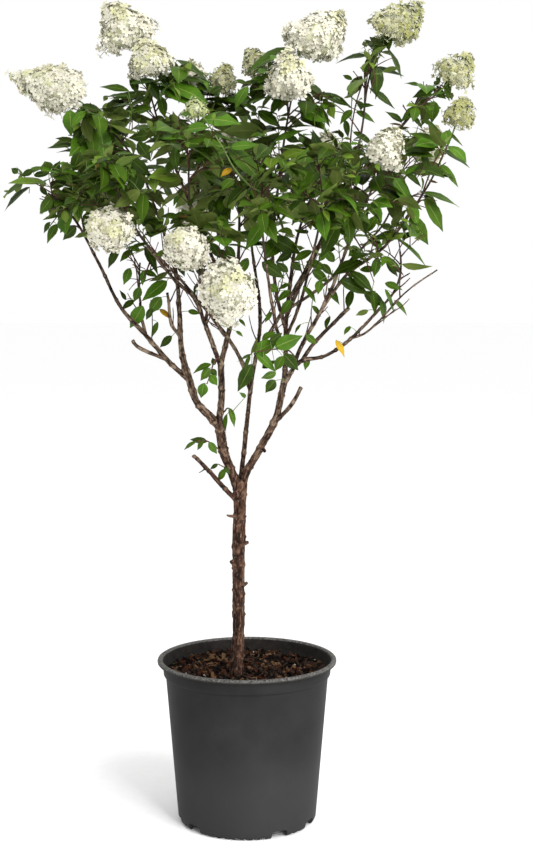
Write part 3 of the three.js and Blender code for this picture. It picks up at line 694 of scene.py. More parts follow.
# %% Snags and knuckles
KNOBS = {
    "low_snag": ([(-16, -28, 610), (-28, -35, 615), (-39, -41, 620)], 2.4, 1.7),
    "upper_knob": ([(-12, -26, 556), (-4, -31, 560), (2, -35, 565)], 4.2, 3.0),
    "lower_knob": ([(-14, -28, 474), (-5, -33, 479), (1, -37, 485)], 4.8, 3.4),
    "left_knuckle": ([(-20, -27, 520), (-28, -32, 524), (-31, -34, 528)], 5.0, 3.4),
    "fork_knuckle": ([(-12, -30, 628), (-10, -38, 630), (-9, -40, 634)], 5.4, 4.0),
    "bough_knuckle": ([(-46, -33, 752), (-52, -44, 758), (-54, -48, 764)], 4.6, 3.0),
    "stub_end": ([(-92, -54, 726), (-100, -57, 736), (-104, -58, 734)], 3.6, 3.0),
    "stub_prong": ([(-78, -49, 712), (-86, -56, 707), (-92, -60, 704)], 2.4, 1.7),
    "right_knuckle": ([(58, -46, 810), (66, -56, 814), (70, -60, 818)], 4.4, 3.0),
    "right_node": ([(30, -36, 752), (34, -45, 746), (36, -48, 742)], 4.6, 3.2),
}
THICK_FROM = 4.5  # mm, the radius at the foot
THICK_BOUGHS = [name for name, (path, foot, tip) in LIMBS.items() if foot > THICK_FROM]
THIN_BOUGHS = [name for name in LIMBS if name not in THICK_BOUGHS]
print("thick boughs:", len(THICK_BOUGHS), "thin boughs:", len(THIN_BOUGHS), "knobs:", len(KNOBS))

# %% [markdown]
# ### Lines that pass through points
# A limb's line is a Catmull-Rom curve: it passes through each traced point and bends evenly between
# them. Shoots are simpler, one Bezier arch each.

# %% Lines that pass through points
def through(points, t):
    """Places along an even Catmull-Rom curve, for each t from 0 to 1."""
    points = np.asarray(points, float)
    spans = len(points) - 1
    p = np.clip(np.atleast_1d(t), 0, 1) * spans
    i = np.minimum(p.astype(int), spans - 1)
    w = (p - i)[:, None]
    padded = np.vstack([2 * points[0] - points[1], points, 2 * points[-1] - points[-2]])
    p0, p1, p2, p3 = padded[i], padded[i + 1], padded[i + 2], padded[i + 3]
    t0, t1 = 0.5 * (p2 - p0), 0.5 * (p3 - p1)
    return p1 + t0 * w + (3 * (p2 - p1) - 2 * t0 - t1) * w ** 2 + (2 * (p1 - p2) + t0 + t1) * w ** 3


def arch(start, bend, end, t):
    """Places along a Bezier arch with one bend."""
    t = np.atleast_1d(t)[:, None]
    return (1 - t) ** 2 * np.asarray(start) + 2 * t * (1 - t) * np.asarray(bend) + t ** 2 * np.asarray(end)

def length_of(points):
    return float(np.linalg.norm(np.diff(points, axis=0), axis=1).sum())


def limb_length(path):
    return length_of(through(path, np.linspace(0, 1, 40)))


def stations(path, spacing, least):
    """Shares from 0 to 1 along a limb, about spacing mm apart."""
    return np.linspace(0, 1, max(least, int(limb_length(path) / spacing)))


for name in ("trunk", "left_bough", "right_bough"):
    print(name, "is", round(limb_length(LIMBS[name][0])), "mm long")

# %% [markdown]
# ### Tubes round lines
# A limb's radius runs evenly from its foot to its tip, and the trunk flares at both ends. Thin wood and
# stalks are closed tubes: a ring of points at each step, carried along so that it doesn't twist.

# %% Tubes round lines
def limb_radius(name, t):
    path, foot, tip = LIMBS[name]
    radius = foot + (tip - foot) * t
    if name == "trunk":
        radius = radius + ROOT_FLARE * np.exp(-12 * t) + FORK_SWELL * np.exp(8 * (t - 1))
    return radius


def tube(points, radii, sides):
    """A closed tube of quads round a line, with its ends capped; sides is even."""
    points = np.asarray(points, float)
    along = np.gradient(points, axis=0)
    along /= np.linalg.norm(along, axis=1)[:, None]
    across = np.empty_like(points)
    start = np.cross(along[0], [0.31, 0.87, 0.38])
    for i, way in enumerate(along):
        start = start - way * start.dot(way)
        start = start / np.linalg.norm(start)
        across[i] = start
    side = np.cross(along, across)
    turn = np.arange(sides) / sides * math.tau
    ring = (np.cos(turn)[None, :, None] * across[:, None] + np.sin(turn)[None, :, None] * side[:, None])
    radii = np.broadcast_to(np.asarray(radii, float), (len(points),))
    verts = (points[:, None] + ring * radii[:, None, None]).reshape(-1, 3)
    rows = np.arange(len(points) - 1)[:, None] * sides
    k = np.arange(sides)[None, :]
    after = (k + 1) % sides
    faces = np.stack([rows + k, rows + after, rows + after + sides, rows + k + sides], -1).reshape(-1, 4)
    last = (len(points) - 1) * sides
    ends = [[0, sides - 1 - j, sides - 2 - j, sides - 3 - j] for j in range(0, sides - 2, 2)]
    tops = [[last, last + 1 + j, last + 2 + j, last + 3 + j] for j in range(0, sides - 2, 2)]
    return verts, np.vstack([faces, ends, tops])


# %% [markdown]
# ### Old wood as one body
# Where boughs leave the trunk, the wood runs from one to the other with no seam. Each thick limb is a
# curve with a bevel that follows its radius. They are made into meshes, joined and remeshed, which melts
# the forks together. Three rounds of smoothing widen the collars a little.

# %% Thick limbs
BARK_VOXEL = 0.0014
BARK_SPARE = 0.5  # mm more than the solid's radius, so that the cracks don't make the limb thin


def limb_curve(name, limb):
    """A curve object along a limb, whose bevel follows its radius."""
    path, foot, tip = limb
    t = stations(path, 6, 12)
    radii = (limb_radius(name, t) + BARK_SPARE if name in LIMBS else foot + (tip - foot) * t) * MM
    data = bpy.data.curves.new(name, "CURVE")
    data.dimensions = "3D"
    data.bevel_depth = 1
    data.bevel_resolution = 6
    data.use_fill_caps = True
    spline = data.splines.new("POLY")
    spline.points.add(len(t) - 1)
    places = np.column_stack([through(path, t) * MM, np.ones(len(t))])
    spline.points.foreach_set("co", places.ravel())
    spline.points.foreach_set("radius", radii)
    return new_object(name, data)


pick(*[limb_curve(name, LIMBS[name]) for name in THICK_BOUGHS],
     *[limb_curve(name, knob) for name, knob in KNOBS.items()])
bpy.ops.object.convert(target="MESH")
bpy.ops.object.join()
old_wood = bpy.context.object
apply_modifier(old_wood, "REMESH", mode="VOXEL", voxel_size=BARK_VOXEL)
apply_modifier(old_wood, "SMOOTH", factor=0.5, iterations=3)
print("old wood:", len(old_wood.data.vertices), "points")

# %% [markdown]
# ### Where a point is on its limb
# Bark runs along each limb, so every point of the wood first finds the nearest place on a middle line:
# how far along it is, and its turn round it. The crown reads the same places, to keep clear of the wood.

# %% Where a point is on its limb
rows = []
for number, (name, (path, foot, tip)) in enumerate(LIMBS.items()):
    t = stations(path, 3, 8)
    points = through(path, t)
    along = np.gradient(points, axis=0)
    along /= np.linalg.norm(along, axis=1)[:, None]
    side = np.cross(along, [0, 1, 0])
    side /= np.linalg.norm(side, axis=1)[:, None]
    steps = np.linalg.norm(np.diff(points, axis=0), axis=1)
    far = np.concatenate([[0], np.cumsum(steps)]) + 1000 * number
    rows.append((points, along, side, far, limb_radius(name, t), np.full(len(t), number)))
line_points, line_along, line_side, line_far, line_radius, line_limb = map(np.concatenate, zip(*rows))


def limb_place(points):
    """For each point in mm: how far along its limb it is, its turn round it, its radius, its number."""
    best = np.empty(len(points), int)
    own_squares = (line_points ** 2).sum(1)
    for start in range(0, len(points), 4000):
        part = points[start:start + 4000]
        squares = (part ** 2).sum(1)[:, None] + own_squares - 2 * part @ line_points.T
        gaps = np.sqrt(np.maximum(squares, 0)) - line_radius
        best[start:start + 4000] = gaps.argmin(axis=1)
    offset = points - line_points[best]
    along, side = line_along[best], line_side[best]
    far = line_far[best] + (offset * along).sum(1)
    front = np.cross(along, side)
    turn = np.arctan2((offset * front).sum(1), (offset * side).sum(1))
    return far, turn, line_radius[best], line_limb[best]


# %% [markdown]
# ### Bark relief
# Hydrangea bark splits into narrow strips that flake along the limb, between swollen rings where leaves
# once grew. Noise that is long along the limb and narrow round it lifts the strips. The height and the
# grain's coordinates are kept as attributes, for cracks painted darker as shade and for fibres that follow
# the limb.

# %% Bark relief
RING_SPACING, RING_WIDTH = 46, 2.6
CRACK_WIDTH = 0.16
SUNK_FOOT = 297.0  # the trunk ends this high, in the mulch


def bark_depth(points, least, most):
    """How far the bark stands out at points in mm, the grain's coordinates, and a height for colour."""
    far, turn, radius, limb = limb_place(points)
    grain = np.column_stack([np.cos(turn) * radius, np.sin(turn) * radius, far])
    strips = lattice_noise(grain, (3.4, 3.4, 12), 3)
    flakes = lattice_noise(grain, (2.2, 2.2, 4.5), 8)
    lumps = lattice_noise(grain, (9, 9, 30), 11)
    cracks = np.exp(-(lattice_noise(grain, (4.6, 4.6, 16), 21) / CRACK_WIDTH) ** 2)
    spacing = RING_SPACING + 9 * np.sin(limb * 1.7)
    ring_at = (far / spacing + 0.35 * lattice_noise(grain, (12, 12, 90), 4)) % 1
    ring = np.exp(-(np.minimum(ring_at, 1 - ring_at) * spacing / RING_WIDTH) ** 2)
    depth = 0.6 * strips + 0.4 * flakes + 1.3 * lumps - cracks + 1.9 * ring
    # The colour height drops in the cracks, which paints shade into them.
    height = 0.58 + 0.20 * strips + 0.20 * flakes + 0.10 * lumps + 0.22 * ring - 0.45 * cracks
    return depth * np.clip(radius / 9, least, most), grain, np.clip(height, 0, 1)


def raise_bark(obj, least, most):
    """Lifts the bark off a piece of wood, by between least and most of its full depth."""
    mesh = obj.data
    points = mesh_points(obj) / MM
    normals = np.empty(points.size, np.float32)
    mesh.vertex_normals.foreach_get("vector", normals)
    depth, grain, height = bark_depth(points, least, most)
    points = points + normals.reshape(-1, 3) * depth[:, None]
    points[:, 2] = np.maximum(points[:, 2], SUNK_FOOT)
    mesh.vertices.foreach_set("co", (points * MM).astype(np.float32).ravel())
    mesh.attributes.new("grain", "FLOAT_VECTOR", "POINT").data.foreach_set(
        "vector", (grain * MM).astype(np.float32).ravel())
    mesh.attributes.new("height", "FLOAT", "POINT").data.foreach_set(
        "value", height.astype(np.float32))
    mesh.update()


raise_bark(old_wood, 0.45, 1.1)
shade_by_angle(old_wood, 75)
print("old wood is", round(old_wood.dimensions.z, 3), "m high")

# %% [markdown]
# ### Thinner limbs
# The upper limbs are only a few millimetres thick, too thin for a remesh. Each is a tube with a ring
# every 3 mm, a little crooked, lifted by the same relief. Its foot is buried in the limb that carries it.

# %% Thinner limbs
thin_pile = Pile()
for name in THIN_BOUGHS:
    path, foot, tip = LIMBS[name]
    t = stations(path, 3, 8)
    line = through(path, t)
    wobble = lattice_noise(line, 26, 31)[:, None] * np.array([1.0, 0.7, 0]) * 1.2
    ends = np.minimum(t, 1 - t)[:, None] * 8
    thin_pile.add(*tube(line + wobble * np.minimum(ends, 1), limb_radius(name, t) + BARK_SPARE, 10), 0)
thin_wood = thin_pile.become("thin_limbs")
raise_bark(thin_wood, 0.32, 0.6)

# %% [markdown]
# ### Bark colours
# Old bark is umber, with paler flakes, and its cracks are nearly black as painted shade. Above the fork the
# sun has bleached it to a pale grey-brown, so a second ramp takes over with height. Bark is dry and matt:
# the roughness is 0.9 and the IOR is 1.4. The fibres read the grain attribute, so they run along each limb
# and stay 1 to 2 mm wide.

# %% Bark colours
# The lowest stops colour the cracks, as painted shade.
UMBER_BARK = [(0.25, "#0a0503"), (0.55, "#27160e"), (0.85, "#432d22"), (1.15, "#5c4637")]
BLEACHED_BARK = [(0.30, "#100904"), (0.58, "#34271d"), (0.86, "#5a4a3c"), (1.15, "#837361")]
BLEACHED_FROM, BLEACHED_TO = 0.62, 0.98  # metres up


def bark_finish(name, stops, flake_colour, fibre_bump):
    material, tree, shader, place = new_material(name, 0.9, 1.4, 0.25)
    grain = add_node(tree, "ShaderNodeAttribute", {"attribute_name": "grain"}).outputs["Vector"]
    height = add_node(tree, "ShaderNodeAttribute", {"attribute_name": "height"}).outputs["Fac"]
    fibre = noise(tree, stretched(tree, grain, (1, 1, 0.36)), 380.0, 5.0, 0.75)
    patch = noise(tree, place, 60.0, 3.0)
    spread = calculate(tree, "MULTIPLY_ADD", fibre, 0.9, -0.45)
    shifted = calculate(tree, "MULTIPLY_ADD", patch, 0.5, spread)
    tone = calculate(tree, "ADD", shifted, height)
    rise = add_node(tree, "ShaderNodeSeparateXYZ", Vector=place).outputs["Z"]
    bleached = eased(tree, rise, BLEACHED_FROM, BLEACHED_TO)
    base = blend(tree, bleached, ramp(tree, tone, stops), ramp(tree, tone, BLEACHED_BARK))
    flaky = eased(tree, fibre, 0.60, 0.71)
    dress(tree, shader, blend(tree, flaky, base, linear(flake_colour)), fibre, fibre_bump, 0.0008)
    return material


old_bark = bark_finish("old flaking bark", UMBER_BARK, "#9a8b7d", 0.8)
young_bark = bark_finish("younger striped bark", BLEACHED_BARK, "#a89a89", 0.4)
finish_piece(old_wood, "trunk_and_boughs", [old_bark], THICK_BOUGHS)
finish_piece(thin_wood, "thin_limbs", [young_bark], THIN_BOUGHS)

# %% [markdown]
# ## The crown
# Each limb ends in a mass of foliage that keeps to its own space: the places nearer to its own middle
# than to any other mass's. The table gives each mass the limb it grows on, its seed, its middle and half
# size in millimetres, how many leafy shoots it has, and its flower heads as (middle, lean, length,
# width). It is the table of the solids, so the visible crown fills the same space.

# %% Masses of foliage
MASSES = {
    "left_tip": ("far_left_bough", 12, (-374, -70, 1216), (100, 110, 75), 5, []),
    "left_upper": ("left_upright_bough", 2, (-290, 0, 1360), (95, 110, 85), 4, [
        ((-380, -20, 1440), (-0.9, -0.2, 0.3), 130, 92)]),
    "top_left": ("inner_rising_bough", 58, (-193, 50, 1434), (90, 100, 80), 3, [
        ((-239, 30, 1560), (-0.45, -0.1, 0.85), 104, 100), ((-185, 0, 1500), (-0.3, -0.3, 0.9), 86, 84)]),
    "back_top": ("back_rising_bough", 25, (-96, 160, 1400), (95, 95, 85), 3, [
        ((-49, 150, 1475), (0.3, 0.1, 0.9), 72, 64), ((-108, 170, 1488), (-0.3, 0.2, 0.9), 60, 56)]),
    "top_centre": ("central_rising_bough", 1, (94, 10, 1430), (90, 100, 80), 3, [
        ((128, 10, 1541), (0.6, -0.1, 0.75), 122, 104), ((81, -50, 1460), (-0.1, -0.5, 0.8), 100, 96),
        ((16, 90, 1503), (-0.5, 0.4, 0.75), 70, 64)]),
    "top_right": ("right_rising_bough", 44, (230, 45, 1440), (80, 90, 100), 3, [
        ((296, 40, 1573), (0.6, -0.1, 0.75), 104, 92)]),
    "right_upper": ("right_outer_rising_bough", 60, (340, 30, 1420), (75, 90, 75), 3, [
        ((404, 0, 1476), (0.55, -0.1, 0.8), 76, 72)]),
    "right_side": ("right_side_bough", 37, (375, -80, 1295), (85, 90, 85), 4, [
        ((402, -60, 1390), (0.25, -0.1, 0.95), 72, 66)]),
    "right_lower": ("right_outer_bough", 54, (290, -90, 1105), (90, 100, 80), 4, []),
    "right_mid": ("right_inner_bough", 46, (245, -85, 1235), (80, 90, 85), 3, [
        ((268, -110, 1325), (0.5, -0.35, 0.75), 92, 84)]),
    "front_right": ("front_right_bough", 18, (141, -150, 1231), (85, 95, 95), 4, []),
    "front_centre": ("front_centre_bough", 18, (31, -200, 1228), (85, 85, 95), 4, []),
    "front_left": ("front_left_bough", 57, (-101, -170, 1284), (90, 95, 90), 4, [
        ((-97, -130, 1391), (-0.2, -0.2, 0.95), 42, 40)]),
    "low_front": ("low_front_bough", 48, (-73, -190, 1121), (85, 80, 80), 3, [
        ((-104, -250, 1132), (-0.2, -0.9, 0.15), 96, 100),
        ((-26, -270, 1058), (0.15, -0.95, 0.05), 116, 118)]),
    "left_mid": ("inner_left_bough", 30, (-240, -150, 1222), (90, 90, 85), 4, [
        ((-243, -210, 1165), (-0.3, -0.85, 0.1), 90, 98)]),
    "left_low": ("left_low_bough", 50, (-202, -60, 1085), (70, 70, 75), 3, []),
    "core": ("inner_right_bough", 34, (-17, 20, 1230), (95, 95, 100), 4, []),
    "core_right": ("right_upright_bough", 33, (127, 15, 1210), (90, 90, 90), 4, []),
    "back_left": ("back_left_bough", 59, (-265, 150, 1240), (105, 100, 100), 4, [
        ((-320, 190, 1375), (-0.5, 0.4, 0.75), 96, 90)]),
    "back_centre": ("middle_bough", 6, (-47, 235, 1255), (100, 100, 105), 4, [
        ((-30, 330, 1370), (0.1, 0.6, 0.75), 100, 92), ((-110, 330, 1215), (-0.3, 0.9, 0.2), 92, 90)]),
    "back_right": ("back_right_bough", 37, (150, 215, 1265), (100, 100, 100), 4, [
        ((165, 300, 1390), (0.2, 0.5, 0.8), 96, 90)]),
    "back_side": ("back_side_bough", 19, (300, 120, 1260), (90, 100, 90), 4, [
        ((370, 190, 1350), (0.5, 0.5, 0.7), 90, 84)]),
    "low_right": ("right_upright_bough", 34, (42, -95, 930), (75, 60, 55), 3, []),
    "low_left": ("left_bough", 45, (-82, -72, 775), (50, 45, 40), 2, []),
}
SPROUT_FEET = {"low_right": (76, -37, 920), "low_left": (-46, -33, 752)}
MASS_NAMES = list(MASSES)

# %% [markdown]
# ### Room to grow
# A shoot or a leaf may only be where its mass owns the space, clear of the limbs and of the flower heads.
# The tests take many points at once.

# %% Room to grow
MIDDLES = np.array([MASSES[name][2] for name in MASS_NAMES], float)
HALVES = np.array([MASSES[name][3] for name in MASS_NAMES], float)
SIZES = HALVES.mean(axis=1)
HEADS = [head for name in MASS_NAMES for head in MASSES[name][5]]
HEAD_MIDDLES = np.array([head[0] for head in HEADS], float)
HEAD_ROOM = np.array([max(head[2], head[3]) * 0.56 for head in HEADS])


def owned(mass, points, margin=3, reach=1.3):
    """Which points lie in the mass's own space: margin mm inside it, within reach of its half size."""
    points = np.asarray(points, float)
    k = MASS_NAMES.index(mass)
    squares = ((points[..., None, :] - MIDDLES) ** 2).sum(-1) - SIZES ** 2
    apart = margin * 2 * np.linalg.norm(MIDDLES - MIDDLES[k], axis=1)
    free = squares - squares[..., k:k + 1] > apart
    free[..., k] = True
    near = np.linalg.norm((points - MIDDLES[k]) / HALVES[k], axis=-1) < reach
    return free.all(-1) & near


def clear_of_wood(points, room):
    points = np.asarray(points, float)
    flat = points.reshape(-1, 3)
    squares = (flat ** 2).sum(1)[:, None] + (line_points ** 2).sum(1) - 2 * flat @ line_points.T
    free = (squares > (line_radius + room) ** 2).all(1)
    return free.reshape(points.shape[:-1])


def clear_of_heads(points, share=1.0):
    points = np.asarray(points, float)
    gaps = np.linalg.norm(points[..., None, :] - HEAD_MIDDLES, axis=-1)
    return (gaps > HEAD_ROOM * share).all(-1)


def room_for(mass, points, room):
    """Whether a shoot of a mass could pass through all of these points."""
    return (owned(mass, points).all() and clear_of_wood(points, room).all()
            and clear_of_heads(points).all())


print("flower heads:", len(HEADS))

# %% [markdown]
# ### Shoots
# The rule for the main shoots is the one in the solids: a stem rises from the limb's tip to the middle
# of the mass, one shoot goes to each flower head, and leafy shoots spread by the golden angle, 137.5
# degrees from each to the next. One that would leave its mass's space is turned or drawn in. Then the
# rule is carried on: extra shoots between them, and side twigs off each.

# %% The rule for main shoots
STALK_SUNK = 0.32  # share of a flower head's length that its stalk runs into it
SPROUT_RADIUS = 2.2


def stem_of(name):
    """A mass's main stem: its foot, its bend, its crown and its radius."""
    limb, _, middle, half, _, _ = MASSES[name]
    middle = np.array(middle, float)
    crown = middle + UP * half[2] * 0.3
    if name in SPROUT_FEET:
        foot, radius = np.array(SPROUT_FEET[name], float), SPROUT_RADIUS
        way = unit(middle - foot)
    else:
        path, _, radius = LIMBS[limb]
        before, end = through(path, [0.9999, 1.0])
        way = unit(end - before)
        foot = end - way * 2.0
    return foot, foot + way * np.linalg.norm(foot - crown) * 0.5, crown, radius


def fitting_shoot(name, start, aim, reach):
    """The first of nine ways of a shoot that keeps to its mass's space, or None."""
    middle, half = np.array(MASSES[name][2], float), np.array(MASSES[name][3], float)
    angle, height = aim
    flat = math.sqrt(max(0, 1 - height * height))
    for shift in (0, 0.9, -0.9):
        for scale in (1, 0.8, 0.6):
            tip = np.array([math.cos(angle + shift) * flat, math.sin(angle + shift) * flat, height])
            tip = tip * half * reach * scale + middle
            bend = (start + tip) / 2 + UP * np.linalg.norm(tip - start) * 0.16
            if room_for(name, arch(start, bend, tip, np.linspace(0.4, 1, 6)), 4.5):
                return start, bend, tip
    return None


def main_shoots(name):
    """The shoots of a mass as (start, bend, tip, flower head or None), by the rule of the solids."""
    _, seed, _, _, count, heads = MASSES[name]
    chance = Chance(seed * 7919)
    stem = stem_of(name)[:3]
    shoots = []
    for head in heads:
        lean = unit(head[1])
        tip = np.array(head[0]) - lean * head[2] * STALK_SUNK
        start = arch(*stem, 0.55 + 0.4 * chance())[0]
        shoots.append((start, tip - lean * np.linalg.norm(start - tip) * 0.4, tip, head))
    for k in range(count):
        share = (k + 0.5) / count
        angle = (k + seed * 3) * GOLDEN_ANGLE + chance() * 0.6
        reach = 0.72 + 0.15 * chance()
        start = arch(*stem, 0.97 + (0.4 - 0.97) * share)[0]
        found = fitting_shoot(name, start, (angle, 0.95 - share * 1.25), reach)
        if found:
            shoots.append((*found, None))
    return shoots


print("main shoots:", sum(len(main_shoots(name)) for name in MASS_NAMES))

# %% Finer shoots between the main ones
EXTRA_SHOOTS = 3


def finer_shoots(name, count, chance):
    """More shoots by the same rule, half way between the main ones and reaching further."""
    stem = stem_of(name)[:3]
    shoots = []
    for k in range(count):
        share = (k + chance(0.2, 0.8)) / count
        angle = (k + 0.5 + MASSES[name][1] * 3) * GOLDEN_ANGLE + chance(0, 1.2)
        start = arch(*stem, 0.97 + (0.35 - 0.97) * share)[0]
        found = fitting_shoot(name, start, (angle, 0.98 - share * 1.5), chance(0.78, 0.98))
        if found:
            shoots.append((*found, None))
    return shoots


def off_to_side(along, turn):
    """A way out from a shoot, at a turn round it."""
    level = unit(np.cross(along, UP) + 1e-6)
    return level * math.cos(turn) + np.cross(level, along) * math.sin(turn)


def side_twigs(name, shoot, chance, count):
    """Side twigs off a shoot, turned by the golden angle, that lean out and up."""
    start, bend, tip, head = shoot
    twigs = []
    for k in range(count):
        t = 0.32 + 0.4 * (k + chance(0, 0.8)) / count
        foot, ahead = arch(start, bend, tip, [t, t + 0.02])
        along = unit(ahead - foot)
        turn = (k + chance(0, 0.4)) * GOLDEN_ANGLE + chance(0, math.tau)
        way = unit(along * 0.75 + off_to_side(along, turn) * 0.85 + UP * 0.25)
        for length in (chance(45, 85), 38, 26):
            end = foot + way * length
            if room_for(name, end[None], 4):
                twigs.append((foot, (foot + end) / 2 + UP * length * 0.08, end, None))
                break
    return twigs


# %% [markdown]
# ## Leaves
# Panicle hydrangea leaves stand in opposite pairs, each pair a quarter turn on from the one below, on
# stalks about a centimetre long. They are ovate with a drawn-out point, 50 to 90 mm long and about half
# as wide, folded along the midrib and arched down towards the tip. A leaf is described by a few numbers,
# and all are shaped in one step from arrays. One leaf in a hundred has turned rusty or yellow.

# %% A leaf as numbers
# The deep tone is both the green of old leaves and painted shade for leaves in shadow.
TONES = {"deep": 0, "mid": 1, "fresh": 2, "young": 3, "yellow": 4, "rusty": 5}
leaf_specs = []  # mass, foot, way, normal, length, width, bend, fold, twist, tone
petiole_specs = []  # node, foot of the blade, its way, the leaf's number


def leaf_pair(name, node, along, length, chance, tone, turn, petiole=11, droop=0.32):
    """An opposite pair of leaves at a node of a shoot."""
    level = unit(np.cross(along, UP) + 1e-6)
    rise = unit(np.cross(level, along))
    for half in (0, math.pi):
        spin = turn + half + chance(-0.25, 0.25)
        out = level * math.cos(spin) + rise * math.sin(spin)
        angle = chance(0.75, 1.15)
        way = unit(along * math.cos(angle) + out * math.sin(angle))
        foot = node + (way * 0.8 + UP * 0.35) * petiole * chance(0.7, 1.3)
        blade = way.copy()
        blade[2] = blade[2] * 0.6 - droop * (chance() + 0.3)
        blade = unit(blade)
        across = unit(np.cross(blade, UP) + 1e-6)
        roll = chance(-0.75, 0.75)
        normal = np.cross(across, blade) * math.cos(roll) + across * math.sin(roll)
        size = length * chance(0.78, 1.15)
        draw = chance()
        own = min(TONES["young"], tone + 1) if draw < 0.2 else max(0, tone - 1) if draw < 0.4 else tone
        own = TONES["rusty"] if draw > 0.99 else TONES["yellow"] if draw > 0.987 else own
        petiole_specs.append((node, foot, blade, len(leaf_specs)))
        leaf_specs.append((name, foot, blade, normal, size, chance(0.86, 1.12), chance(0.05, 0.75),
                           chance(0.02, 0.30), chance(-0.4, 0.4), own))


# %% [markdown]
# ### Leaves along a shoot
# The pairs stand 30 to 40 mm apart, larger in the middle of the shoot, with small young leaves at the
# tip. Leaves of one shoot share their tone, because they are of one age: deep green low down and inside,
# where the deep tone is also painted shade, and fresher at the top.

# %% Leaves along a shoot
LEAF_LENGTH = 72
TONE_MIDDLE, TONE_RANGE = 1250, 900  # mm up: where tones are even, and how slowly they change


def shoot_tone(height, chance):
    draw = chance() + (height - TONE_MIDDLE) / TONE_RANGE
    # Low shoots get the deep tone: older leaves, and painted shade low in the crown.
    return "deep" if draw < 0.36 else "mid" if draw < 0.80 else "fresh" if draw < 1.06 else "young"


def leaves_along(name, shoot, chance, length, first=0.3, spacing=36):
    """Pairs of leaves from a share of a shoot to its tip, and young ones at the tip itself."""
    start, bend, tip, head = shoot
    reach = length_of(arch(start, bend, tip, np.linspace(0, 1, 12)))
    pairs = max(1, int(round(reach * (1 - first) / spacing)))
    tone = TONES[shoot_tone(tip[2], chance)]
    turn = chance(0, math.pi)
    top = 0.72 if head else 0.99
    for k in range(pairs + 1):
        t = first + (top - first) * (k + chance(-0.15, 0.15)) / pairs
        t = min(max(t, 0.1), 0.99)
        node, ahead = arch(start, bend, tip, [t, min(1, t + 0.01)])
        along = unit(ahead - node) if t < 0.985 else unit(tip - bend)
        size = length * (0.75 + 0.3 * math.sin(math.pi * t))
        if k == pairs and not head:
            size *= 0.72
        leaf_pair(name, node, along, size, chance, tone, turn + k * math.pi / 2)
    if not head:
        along = unit(tip - bend)
        leaf_pair(name, tip - along * 1.5, along, length * 0.34, chance, TONES["young"],
                  chance(0, math.pi), petiole=4, droop=0.0)


# %% [markdown]
# ### Growing the crown
# Each mass gets its stem, its main shoots, the finer ones between them and two side twigs on each, with
# leaves along all of them.

# %% Growing the crown
OLD_WOOD, YOUNG_WOOD, GREEN_WOOD = range(3)
twig_lines = []  # line, radius at its foot, radius at its tip, age


def add_twig(shoot, steps, foot, tip, age, first=0.0, last=1.0):
    line = arch(*shoot[:3], np.linspace(first, last, steps))
    twig_lines.append((line, foot, tip, age))


def grow(name):
    chance = Chance(MASSES[name][1] * 104729 + 17)
    length = 62 if name == "left_low" else LEAF_LENGTH
    stem = stem_of(name)
    add_twig(stem, 12, stem[3], 1.7, OLD_WOOD)
    for shoot in main_shoots(name) + finer_shoots(name, EXTRA_SHOOTS, chance):
        if shoot[3]:
            add_twig(shoot, 6, 1.9, 1.6, OLD_WOOD, last=0.52)
            add_twig(shoot, 6, 1.6, 1.4, GREEN_WOOD, first=0.5)
        else:
            add_twig(shoot, 9, 1.4, 0.8, YOUNG_WOOD)
        leaves_along(name, shoot, chance, length)
        for twig in side_twigs(name, shoot, chance, 2):
            add_twig(twig, 6, 0.9, 0.6, YOUNG_WOOD)
            leaves_along(name, twig, chance, length * 0.82, first=0.6, spacing=40)


for name in MASS_NAMES:
    if name not in SPROUT_FEET:
        grow(name)
print("leaves grown:", len(leaf_specs), "twigs:", len(twig_lines))

# %% [markdown]
# ### Short shoots on the old limbs
# Below the crown's roof the limbs carry short side shoots: some bare, with only buds, and some with a
# few small leaves. Each limb gets one every few centimetres, turned by the golden angle, from where the
# crown begins.

# %% Short shoots on the old limbs
SHORT_SHOOTS_FROM = 935
SHORT_SHOOT_SPACING = 34
BARE_LIMBS = ("trunk", "trunk_stub", "left_stub", "right_stub")
WOOD = "wood"  # leaves that no mass owns


def short_shoots(name, chance):
    path = LIMBS[name][0]
    count = int(limb_length(path) / SHORT_SHOOT_SPACING)
    for k in range(count):
        t = (k + chance(0.2, 0.9)) / count
        start, ahead = through(path, [t * 0.98, t * 0.98 + 0.02])
        if start[2] < SHORT_SHOOTS_FROM + chance(0, 60):
            continue
        along = unit(ahead - start)
        out = off_to_side(along, k * GOLDEN_ANGLE + chance(0, 1.5))
        way = unit(along * 0.8 + out * 0.7 + UP * 0.6)
        leafy = chance() < 0.6
        reach = chance(45, 85) if leafy else chance(12, 45)
        end = start + way * reach
        if not clear_of_heads(end):
            continue
        bend = (start + end) / 2 + out * reach * 0.1
        line = arch(start, bend, end, np.linspace(0, 1, 7))
        line[1:-1] += lattice_noise(line[1:-1], 9, 77)[:, None] * out * 1.2
        twig_lines.append((line, chance(1.0, 1.5), 0.6, OLD_WOOD if chance() < 0.6 else YOUNG_WOOD))
        if leafy:
            leaves_along(WOOD, (start, bend, end, None), chance, chance(34, 58), first=0.5, spacing=34)


for number, name in enumerate(LIMBS):
    if name not in BARE_LIMBS:
        short_shoots(name, Chance(900 + number * 31))

# %% [markdown]
# ### Sprays in the gaps
# Where two masses meet, the photograph still shows leaves. A few sprays are set there one by one, each
# from the wood nearest to it.

